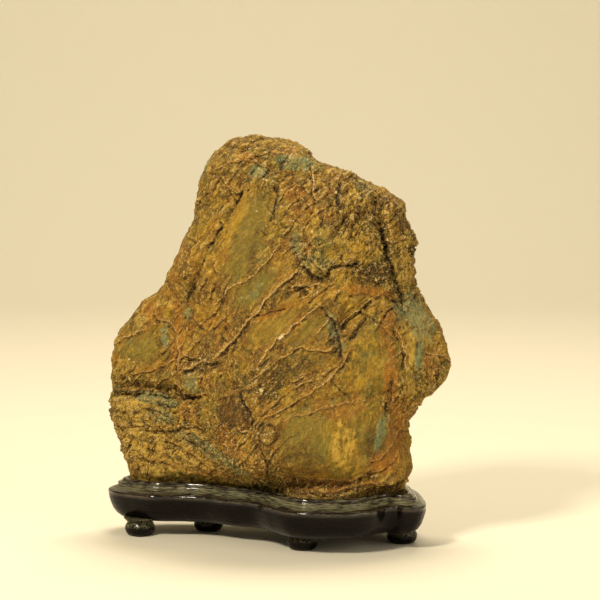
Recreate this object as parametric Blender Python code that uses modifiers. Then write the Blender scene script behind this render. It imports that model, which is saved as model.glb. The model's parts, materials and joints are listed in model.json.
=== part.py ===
"""Viewing stone standing in its carved wooden stand.

Two separate pieces: `stone`, one weathered rock, and `stand`, carved from one block together with its
five bun feet. The stone is sunk a few millimetres into a recess that follows its foot, and can be lifted
out. +Z is up and -Y is the side the stone is shown from. Lengths in the constants are millimetres.
"""

import math

import bmesh
import bpy
import numpy as np
from mathutils import Vector, noise

METRES = 0.001

# The middle of the whole object's plan, which becomes the origin, with the ground at height 0.
ORIGIN = (-0.6, 0.3)

# The stand's rim seen from above, counter-clockwise from the left end along the front.
RIM_OUTLINE = [
    (-91.5, 27.0), (-89.0, 16.0), (-79.5, 8.0), (-68.0, 2.0), (-53.0, 0.8), (-40.0, -2.5), (-28.0, -10.0),
    (-13.5, -17.0), (-5.0, -29.0), (4.5, -40.0), (18.0, -44.6), (36.0, -44.8), (47.5, -39.5), (55.5, -30.0),
    (60.5, -27.5), (66.0, -30.5), (73.0, -29.5), (77.0, -20.5), (76.0, 0.0), (72.0, 20.0), (63.0, 36.0), (47.0, 44.0),
    (27.0, 43.0), (5.0, 40.5), (-18.0, 42.5), (-42.0, 45.5), (-66.0, 45.0), (-84.0, 38.5),
]
LEDGE = 10.8
OUTLINE_STATIONS = 92
NORMAL_SMOOTHING = 10

# The stand's section from the middle of the underside, round the outside, to the recess floor:
# distance outside the recess wall, height.
STAND_SECTION = [
    (1.0, 8.0), (4.2, 8.7), (7.2, 11.4), (9.4, 15.2), (10.5, 19.4), (10.9, 22.4), (10.3, 23.7),
    (8.2, 24.6), (5.8, 25.6), (5.2, 27.0), (4.2, 27.3), (3.4, 26.9), (2.8, 28.6), (1.4, 29.2),
    (0.3, 28.9), (0.0, 20.0),
]

# A bun foot's radius and height, from the top, which is buried in the underside, to the ground.
FOOT_SECTION = [(9.6, 9.6), (7.4, 8.4), (6.7, 7.2), (7.5, 5.8), (8.0, 3.8), (7.7, 2.0), (6.9, 0.6), (6.0, 0.0)]
FOOT_SIDES = 16
FEET = [(-74.2, 13.8), (12.5, -21.5), (65.0, -5.5), (-38.2, 26.6), (47.0, 27.0)]

# The stone at each height: height, left end, right end, how far its front and its back stand out.
STONE_SECTIONS = [
    (20.3, -80.0, 66.0, 33.0, 32.0),
    (33.0, -82.4, 67.6, 35.5, 33.0),
    (41.0, -84.0, 68.2, 37.5, 35.0),
    (53.0, -85.8, 67.6, 38.5, 37.0),
    (65.0, -89.2, 68.4, 39.0, 38.5),
    (70.0, -89.6, 71.6, 39.0, 39.5),
    (80.0, -89.8, 80.8, 39.0, 40.0),
    (88.0, -90.2, 86.6, 39.0, 40.5),
    (94.5, -89.8, 90.0, 39.0, 41.0),
    (101.0, -89.0, 88.2, 38.5, 41.0),
    (110.5, -83.0, 84.4, 38.0, 41.0),
    (119.5, -74.7, 80.0, 37.0, 40.5),
    (126.5, -70.6, 76.2, 36.0, 40.0),
    (132.0, -63.0, 73.2, 35.5, 39.0),
    (140.0, -57.9, 71.0, 34.5, 38.0),
    (152.0, -52.4, 71.0, 31.5, 36.0),
    (162.0, -47.6, 71.2, 29.0, 33.5),
    (170.0, -44.6, 67.2, 27.0, 31.5),
    (180.0, -41.8, 64.2, 24.5, 29.0),
    (186.0, -41.0, 54.8, 22.5, 27.5),
    (191.0, -40.4, 45.6, 21.0, 26.0),
    (195.5, -38.0, 39.4, 19.5, 24.5),
    (199.5, -36.9, 26.0, 18.0, 22.5),
    (202.0, -35.4, 19.4, 16.8, 21.0),
    (206.5, -31.2, 15.4, 14.4, 18.0),
    (210.5, -25.6, 7.0, 11.2, 13.5),
    (213.0, -19.5, -3.0, 6.8, 8.5),
    (214.2, -13.5, -9.5, 2.2, 2.8),
]
STONE_STATIONS = 360
STONE_RINGS = 200
SQUARENESS_LEFT, SQUARENESS_RIGHT = 2.4, 3.1
STONE_TRIANGLES = 5800

# The stone's foot is upright inside the recess and then swells into its natural outline: quickly at its
# ends, and slowly at its front and back, slowest of all where its left part stands back.
SEAT_GAP = 0.7
SEAT_TOP = 31.0
END_SWELL_TOP = 37.0
FACE_SWELL_TOP = 48.0
SLIM_SWELL_TOP = 96.0

# The left part of the stone is thinner than the rest and stands further back.
SLIM_FROM, SLIM_TO = -4.0, -60.0
SLIM_FRONT, SLIM_BACK, SLIM_SHIFT = 0.52, 0.36, 19.0
SLIM_BELOW, SLIM_ABOVE = 112.0, 168.0

# Flat faces of the rock: a point on each face, the way it faces, how far it reaches and how flat it is.
FACETS = [
    ("left_flank", (-44.0, -18.0, 160.0), (-0.72, -0.66, 0.22), 40.0, 0.80),
    ("upper_front", (-2.0, -32.5, 150.0), (-0.10, -0.96, 0.26), 48.0, 0.80),
    ("upper_right_front", (42.0, -26.0, 160.0), (0.34, -0.92, 0.22), 34.0, 0.75),
    ("right_block", (68.0, -10.0, 158.0), (0.80, -0.58, 0.10), 30.0, 0.70),
    ("nose_front", (74.0, -19.0, 102.0), (0.66, -0.70, 0.26), 30.0, 0.80),
    ("nose_under", (76.0, -16.0, 80.0), (0.50, -0.52, -0.68), 20.0, 0.70),
    ("mid_front", (16.0, -40.0, 108.0), (0.04, -0.985, 0.16), 46.0, 0.85),
    ("left_lobe_front", (-70.0, -3.0, 104.0), (-0.38, -0.90, 0.20), 30.0, 0.75),
    ("back_upper", (2.0, 31.0, 168.0), (0.10, 0.94, 0.32), 50.0, 0.85),
    ("back_left", (-46.0, 40.0, 98.0), (-0.34, 0.92, 0.16), 44.0, 0.85),
    ("back_right", (50.0, 33.0, 104.0), (0.46, 0.88, 0.08), 44.0, 0.85),
    ("back_low", (8.0, 38.5, 62.0), (0.04, 0.98, -0.18), 44.0, 0.80),
    ("right_low", (66.0, -20.0, 54.0), (0.90, -0.42, -0.06), 24.0, 0.50),
    ("shoulder_top", (46.0, 2.0, 191.0), (0.45, 0.06, 0.88), 18.0, 0.40),
]

# Swellings and hollows: side, middle (x, z), half sizes, turn in degrees, height out of the face.
FRONT, BACK = -1, 1
SWELLINGS = [
    ("lower_right_bulge", FRONT, (32.0, 60.0), (27.0, 19.0), 0, 3.8),
    ("bulge_foot", FRONT, (30.0, 36.0), (34.0, 5.0), 0, -1.5),
    ("round_boss", FRONT, (-6.3, 63.0), (5.2, 5.2), 0, 3.4),
    ("oval_facet", FRONT, (-23.0, 74.0), (9.0, 10.0), -35, 1.8),
    ("left_lobe", FRONT, (-73.0, 103.0), (15.0, 19.0), 10, 4.0),
    ("crust_shelf", FRONT, (-58.0, 46.0), (30.0, 18.0), -12, 4.5),
    ("crust_hollow", FRONT, (-62.0, 76.0), (24.0, 6.0), -2, -2.0),
    ("coral_lumps", FRONT, (16.0, 154.0), (9.0, 9.0), 0, 3.0),
    ("coral_shadow", FRONT, (18.0, 143.5), (10.0, 3.2), -14, -3.0),
    ("upper_right_wrinkles", FRONT, (40.0, 160.0), (15.0, 20.0), 0, 1.6),
    ("small_pit", FRONT, (34.0, 170.5), (4.0, 4.0), 0, -2.6),
    ("under_knob_band", FRONT, (6.0, 198.0), (18.0, 3.6), -8, -3.2),
    ("mid_hollow", FRONT, (38.0, 121.0), (14.0, 6.0), 40, -3.4),
    ("neck_hollow", FRONT, (58.0, 78.0), (7.0, 16.0), 25, -3.0),
    ("nose_coat", FRONT, (70.0, 120.0), (9.0, 14.0), -30, 1.8),
    ("back_shelf", BACK, (-20.0, 66.0), (38.0, 13.0), 8, 4.5),
    ("back_hollow", BACK, (24.0, 112.0), (22.0, 12.0), 35, -4.5),
    ("back_boss", BACK, (-40.0, 118.0), (16.0, 15.0), -20, 3.6),
    ("back_groove", BACK, (-6.0, 146.0), (6.0, 26.0), -32, -3.6),
    ("back_foot", BACK, (20.0, 36.0), (30.0, 7.0), 0, -3.0),
]

# Creases cut into the rock (deep > 0) and veins standing out of it (deep < 0):
# side, route (x, z), half width, depth.
CREASES = [
    ("flank_crack", FRONT, [(-19.5, 183), (-25, 174), (-31, 165), (-38, 152), (-44, 138), (-47, 128)], 2.6, 2.8),
    ("right_crack", FRONT, [(50, 180), (53, 168), (55.5, 157), (58, 148), (61, 142), (63.5, 129)], 2.6, 4.2),
    ("left_shelf_crevice", FRONT, [(-90, 80), (-78, 82), (-67, 81), (-54, 79), (-44, 76)], 2.6, 4.5),
    ("lower_crevice", FRONT, [(-22, 88), (-17, 76), (-13.5, 64), (-7.4, 54), (-4, 42), (-2, 32)], 2.8, 4.2),
    ("vein_a", FRONT, [(12, 149), (5, 144), (-7, 131), (-21, 115), (-33, 101)], 2.4, -1.5),
    ("vein_b", FRONT, [(25, 131), (10, 119), (0, 112), (-8, 103), (-17, 93)], 2.4, -1.5),
    ("vein_c", FRONT, [(36, 111), (26, 107), (10, 107), (2, 101), (-8, 94)], 2.4, -1.3),
    ("groove_d", FRONT, [(45, 131), (37, 123), (31, 118)], 2.6, 2.6),
    ("vein_e", FRONT, [(33, 98), (21, 88), (10, 81), (-2, 73)], 2.6, -1.5),
    ("vein_f", FRONT, [(-1, 160), (-8, 151), (-17, 142), (-26, 137)], 2.2, -1.2),
    ("bulge_brow", FRONT, [(4, 77), (20, 81), (46, 83), (60, 84)], 3.0, 2.2),
    ("back_crack", BACK, [(30, 182), (18, 160), (12, 138), (-4, 112), (-12, 88)], 3.0, 3.4),
    ("back_vein", BACK, [(-44, 132), (-20, 128), (12, 116), (40, 92)], 2.8, -2.0),
    ("back_low_crevice", BACK, [(-74, 74), (-42, 70), (-8, 52), (30, 47), (60, 56)], 2.8, 3.4),
]

# Unevenness of the rock: size of the lumps and their height.
LUMPS = [(46.0, 2.6), (21.0, 1.5), (10.5, 0.9)]

STONE_COLOUR = (0.275, 0.165, 0.040, 1.0)
STAND_COLOUR = (0.022, 0.016, 0.011, 1.0)


def smooth_step(low, high, value):
    """0 at or before low, 1 at or past high, with an easy start and end; low may exceed high."""
    share = np.clip((value - low) / (high - low), 0.0, 1.0)
    return share * share * (3.0 - 2.0 * share)


def place(x, y, z):
    """A point of the design, in millimetres, as a point of the model, in metres from its origin."""
    return Vector((x - ORIGIN[0], y - ORIGIN[1], z)) * METRES


def closed_curve(points, count):
    """Points evenly spaced along the smooth closed curve through the given ones."""
    knots = np.array(points, float)
    before, after, beyond = np.roll(knots, 1, 0), np.roll(knots, -1, 0), np.roll(knots, -2, 0)
    share = np.linspace(0.0, 1.0, 24, endpoint=False)[:, None, None]
    cubic = 0.5 * (
        2 * knots
        + (after - before) * share
        + (2 * before - 5 * knots + 4 * after - beyond) * share**2
        + (3 * knots - before - 3 * after + beyond) * share**3
    )
    dense = cubic.transpose(1, 0, 2).reshape(-1, 2)
    closed = np.vstack([dense, dense[:1]])
    run = np.concatenate([[0.0], np.cumsum(np.linalg.norm(np.diff(closed, axis=0), axis=1))])
    stations = np.linspace(0.0, run[-1], count, endpoint=False)
    return np.stack([np.interp(stations, run, closed[:, axis]) for axis in (0, 1)], 1)


def outward(curve, smoothing):
    """Unit vectors across a counter-clockwise closed curve, evened out so that they never cross."""
    along = np.roll(curve, -1, 0) - np.roll(curve, 1, 0)
    across = np.stack([along[:, 1], -along[:, 0]], 1)
    across /= np.linalg.norm(across, axis=1, keepdims=True)
    for _ in range(smoothing):
        across = (np.roll(across, 1, 0) + across + np.roll(across, -1, 0)) / 3.0
    return across / np.linalg.norm(across, axis=1, keepdims=True)


def plan_outlines(count):
    """The rim and, inside it, the recess wall, station by station."""
    rim = closed_curve(RIM_OUTLINE, count)
    across = outward(rim, max(2, NORMAL_SMOOTHING * count // OUTLINE_STATIONS))
    return rim, rim - LEDGE * across, across


def lofted_mesh(name, rings, cap_first=True, cap_last=True):
    """One closed body through rings of points (millimetres), each ring with the same number of points."""
    bm = bmesh.new()
    rows = [[bm.verts.new(place(*point)) for point in ring] for ring in rings]
    for lower, upper in zip(rows, rows[1:]):
        for station, vert in enumerate(lower):
            onward = (station + 1) % len(lower)
            bm.faces.new((vert, lower[onward], upper[onward], upper[station]))
    if cap_first:
        bm.faces.new(rows[0][::-1])
    if cap_last:
        bm.faces.new(rows[-1])
    bmesh.ops.recalc_face_normals(bm, faces=bm.faces)
    mesh = bpy.data.meshes.new(name)
    bm.to_mesh(mesh)
    bm.free()
    return mesh


def add_object(name, mesh, collection, colour=None, roughness=0.5, coat=0.0):
    """An object in the collection, with its own material where a colour is given."""
    obj = bpy.data.objects.new(name, mesh)
    collection.objects.link(obj)
    if colour:
        material = bpy.data.materials.new(name)
        material.use_nodes = True
        shader = material.node_tree.nodes["Principled BSDF"]
        shader.inputs["Base Color"].default_value = colour
        shader.inputs["Roughness"].default_value = roughness
        shader.inputs["Metallic"].default_value = 0.0
        shader.inputs["Coat Weight"].default_value = coat
        obj.data.materials.append(material)
    return obj


def add_collection(name, shown=True):
    collection = bpy.data.collections.new(name)
    collection.hide_render = not shown
    bpy.context.scene.collection.children.link(collection)
    return collection


def stand_body():
    """The carved board: apron, sloping ledge, double beaded lip and the recess for the stone."""
    _, wall, across = plan_outlines(OUTLINE_STATIONS)
    rings = []
    for out, height in STAND_SECTION:
        ring = wall + out * across
        rings.append(np.column_stack([ring, np.full(len(ring), height)]))
    return lofted_mesh("stand", rings)


def foot_mesh():
    """A turned bun foot, from a profile spun by a Screw modifier and made one closed mesh."""
    profile = bpy.data.meshes.new("foot_profile")
    points = [(0.0, FOOT_SECTION[0][1])] + FOOT_SECTION + [(0.0, FOOT_SECTION[-1][1])]
    edges = [(step, step + 1) for step in range(len(points) - 1)]
    profile.from_pydata([(radius * METRES, 0.0, height * METRES) for radius, height in points], edges, [])
    spun = bpy.data.objects.new("foot_profile", profile)
    bpy.context.scene.collection.objects.link(spun)
    screw = spun.modifiers.new("turn", "SCREW")
    screw.steps = screw.render_steps = FOOT_SIDES
    screw.use_merge_vertices = True
    screw.merge_threshold = 0.00001
    bpy.context.view_layer.update()
    mesh = bpy.data.meshes.new_from_object(spun.evaluated_get(bpy.context.evaluated_depsgraph_get()))
    bpy.data.objects.remove(spun)
    bm = bmesh.new()
    bm.from_mesh(mesh)
    bmesh.ops.remove_doubles(bm, verts=bm.verts, dist=0.00001)
    bmesh.ops.recalc_face_normals(bm, faces=bm.faces)
    bm.to_mesh(mesh)
    bm.free()
    return mesh


def make_stand(parts, guides):
    """The stand: board and feet as one piece of wood."""
    stand = add_object("stand", stand_body(), parts, STAND_COLOUR, roughness=0.28, coat=0.5)
    foot = foot_mesh()
    for number, (x, y) in enumerate(FEET, 1):
        guide = add_object(f"foot_{number}", foot, guides)
        guide.location = place(x, y, 0.0)
        guide.display_type = "WIRE"
        guide.hide_render = True
        union = stand.modifiers.new(f"foot_{number}", "BOOLEAN")
        union.operation = "UNION"
        union.solver = "EXACT"
        union.object = guide
    return stand


def ring_heights():
    """Heights of the stone's rings: even at first, closer together towards the crown."""
    base, crown = STONE_SECTIONS[0][0], STONE_SECTIONS[-1][0]
    share = np.linspace(0.0, 1.0, STONE_RINGS)
    return base + (crown - base) * (1.0 - (1.0 - share) ** 1.35)


def natural_ring(height, turn):
    """The rock's own section at a height, for turns running from its left end along its front."""
    table = np.array(STONE_SECTIONS)
    left, right, front, back = (np.interp(height, table[:, 0], table[:, col]) for col in (1, 2, 3, 4))
    across, along = np.cos(turn), np.sin(turn)
    power = 2.0 / np.where(across > 0, SQUARENESS_RIGHT, SQUARENESS_LEFT)
    x = (left + right) / 2 + (right - left) / 2 * np.sign(across) * np.abs(across) ** power
    y = np.where(along > 0, back, front) * np.sign(along) * np.abs(along) ** power
    slim = smooth_step(SLIM_FROM, SLIM_TO, x) * smooth_step(SLIM_ABOVE, SLIM_BELOW, height)
    y *= 1.0 - slim * np.where(along > 0, SLIM_BACK, SLIM_FRONT)
    return x, y + slim * SLIM_SHIFT


def station_turns(wall):
    """Turn round the rock for each station of the recess wall: both reach their ends together."""
    count = len(wall)
    right_end = int(np.argmax(wall[:, 0]))
    station = np.arange(count)
    front = np.pi + np.pi * station / right_end
    back = np.pi * (station - right_end) / (count - right_end)
    return np.where(station <= right_end, front, back)


def plain_stone():
    """The rock without relief: points (rings, stations, 3) and how far each one faces the front."""
    _, wall, across = plan_outlines(STONE_STATIONS)
    foot = wall - SEAT_GAP * across
    turn = station_turns(wall)
    rings = []
    swell_top = FACE_SWELL_TOP + (SLIM_SWELL_TOP - FACE_SWELL_TOP) * smooth_step(-12.0, -50.0, foot[:, 0])
    for height in ring_heights():
        x, y = natural_ring(height, turn)
        ring_x = foot[:, 0] + smooth_step(SEAT_TOP, END_SWELL_TOP, height) * (x - foot[:, 0])
        ring_y = foot[:, 1] + smooth_step(SEAT_TOP, swell_top, height) * (y - foot[:, 1])
        rings.append(np.column_stack([ring_x, ring_y, np.full(len(turn), height)]))
    facing = np.tile(-np.sin(turn), (len(rings), 1))
    return np.array(rings), facing


def flatten(points, middle, facing, reach, strength):
    """Presses what stands out past a plane back towards it, within a reach of its middle."""
    direction = np.array(facing) / np.linalg.norm(facing)
    offset = points - np.array(middle)
    proud = offset @ direction
    aside = np.linalg.norm(offset - proud[..., None] * direction, axis=-1)
    share = strength * smooth_step(1.5 * reach, reach, aside)
    points -= (share * np.maximum(proud, 0.0))[..., None] * direction


def side_share(facing, side):
    """1 on the named side of the rock, fading to 0 round its ends."""
    return smooth_step(0.05, 0.55, facing if side == FRONT else -facing)


def swell(points, facing, side, middle, half_sizes, degrees, height):
    """Raises (or, with a negative height, hollows) an oval patch of one side."""
    angle = math.radians(degrees)
    right, up = points[..., 0] - middle[0], points[..., 2] - middle[1]
    along = (right * math.cos(angle) + up * math.sin(angle)) / half_sizes[0]
    over = (up * math.cos(angle) - right * math.sin(angle)) / half_sizes[1]
    share = np.exp(-((along**2 + over**2) ** 1.3) * 0.7)
    points[..., 1] += side * height * share * side_share(facing, side)


def distance_to_route(points, route):
    """Distance in the upright plane from each point to a route of (x, z) places."""
    upright = points[..., (0, 2)]
    nearest = np.full(upright.shape[:-1], np.inf)
    for start, end in zip(route, route[1:]):
        start, run = np.array(start, float), np.array(end, float) - np.array(start, float)
        share = np.clip(((upright - start) @ run) / (run @ run), 0.0, 1.0)
        nearest = np.minimum(nearest, np.linalg.norm(upright - start - share[..., None] * run, axis=-1))
    return nearest


def crease(points, facing, side, route, half_width, deep):
    """Cuts a crease along a route on one side, or raises a vein where deep is negative."""
    share = np.exp(-((distance_to_route(points, route) / half_width) ** 2))
    points[..., 1] -= side * deep * share * side_share(facing, side)


def roughen(points, lumps):
    """Moves each point in or out by smooth noise, and leaves the upright foot as it is."""
    centre = np.array([0.0, 6.0, 95.0])
    flat = points.reshape(-1, 3)
    free = smooth_step(SEAT_TOP, SEAT_TOP + 7.0, flat[:, 2])
    for size, height in lumps:
        offset = Vector((size, -size, 2 * size))
        rise = np.array([noise.noise(Vector(point) / size + offset) for point in flat])
        away = (flat - centre) * (1.0, 1.6, 1.0)
        away /= np.linalg.norm(away, axis=1, keepdims=True)
        flat += (height * rise * free)[:, None] * away


def make_stone(parts):
    """The rock: lofted sections, then its flat faces, swellings, veins and creases, then fewer facets."""
    points, facing = plain_stone()
    foot = points[..., 2] <= SEAT_TOP
    upright = points[foot].copy()
    for _, middle, direction, reach, strength in FACETS:
        flatten(points, middle, direction, reach, strength)
    for _, side, middle, half_sizes, degrees, height in SWELLINGS:
        swell(points, facing, side, middle, half_sizes, degrees, height)
    roughen(points, LUMPS)
    for _, side, route, half_width, deep in CREASES:
        crease(points, facing, side, route, half_width, deep)
    points[foot] = upright
    mesh = lofted_mesh("stone", points)
    stone = add_object("stone", mesh, parts, STONE_COLOUR, roughness=0.85)
    triangles = sum(len(face.vertices) - 2 for face in mesh.polygons)
    thin = stone.modifiers.new("fewer_facets", "DECIMATE")
    thin.ratio = STONE_TRIANGLES / triangles
    return stone


def main():
    for obj in list(bpy.data.objects):
        bpy.data.objects.remove(obj)
    parts = add_collection("viewing_stone_on_stand")
    guides = add_collection("cutters", shown=False)
    make_stone(parts)
    make_stand(parts, guides)


main()
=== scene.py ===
"""Surface finish of the viewing stone and its carved stand, laid out as a Blender add-on.

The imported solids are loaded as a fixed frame. The weathered stone, the grit on its crust, the stand's
board and its bun feet are then made as fine meshes with procedural materials. Unless a name says
otherwise, lengths in the tables are millimetres in the frame's own axes: +X right, -Y towards the
viewer, +Z up.
"""

import json
import math
from collections import namedtuple
from functools import partial
from itertools import product

import bmesh
import bpy
import numpy as np
from bpy.props import FloatProperty, FloatVectorProperty, IntProperty, PointerProperty
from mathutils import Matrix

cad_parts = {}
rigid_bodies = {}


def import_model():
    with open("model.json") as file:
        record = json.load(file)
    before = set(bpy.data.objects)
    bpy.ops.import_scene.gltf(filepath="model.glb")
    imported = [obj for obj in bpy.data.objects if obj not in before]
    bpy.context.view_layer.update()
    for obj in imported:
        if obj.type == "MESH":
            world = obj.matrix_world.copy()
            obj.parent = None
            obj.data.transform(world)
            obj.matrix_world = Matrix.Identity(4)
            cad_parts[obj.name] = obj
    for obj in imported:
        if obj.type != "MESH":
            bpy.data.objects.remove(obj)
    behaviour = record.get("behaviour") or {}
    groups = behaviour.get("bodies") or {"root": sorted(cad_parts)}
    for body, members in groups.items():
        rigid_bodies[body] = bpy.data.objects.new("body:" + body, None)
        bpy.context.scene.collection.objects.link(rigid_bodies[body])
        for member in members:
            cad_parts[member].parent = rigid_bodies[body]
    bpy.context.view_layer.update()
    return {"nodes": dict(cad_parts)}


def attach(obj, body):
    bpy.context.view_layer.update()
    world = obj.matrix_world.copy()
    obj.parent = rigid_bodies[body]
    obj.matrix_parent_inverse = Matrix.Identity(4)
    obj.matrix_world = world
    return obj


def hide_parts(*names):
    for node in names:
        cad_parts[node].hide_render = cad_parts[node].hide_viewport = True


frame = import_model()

bl_info = {
    "name": "Viewing stone on a carved stand",
    "version": (1, 0, 0),
    "blender": (4, 5, 0),
    "location": "3D View > Sidebar > Viewing Stone",
    "description": "Makes a weathered viewing stone, its lacquered stand and a plain studio around them",
    "category": "Add Mesh",
}

MM = 0.001

# ---------------------------------------------------------------------------- stone: features by side

# The ways that the stone's sides face. Its features are listed under the side that shows them, and their places
# are across and up as that side shows them.
FRONT = (0.0, -1.0, 0.0)
BACK = (0.0, 1.0, 0.0)
LEFT_END = (-1.0, 0.0, 0.0)
RIGHT_END = (1.0, 0.0, 0.0)
SIDES = (FRONT, BACK, LEFT_END, RIGHT_END)

# A line on the stone: half width, height of its ridge, depth of its groove, how pale it is (0 a dark crack,
# 0.5 rusty, 1 cream), and its route.
Seam = namedtuple("Seam", "width rise cut tone route")

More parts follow.
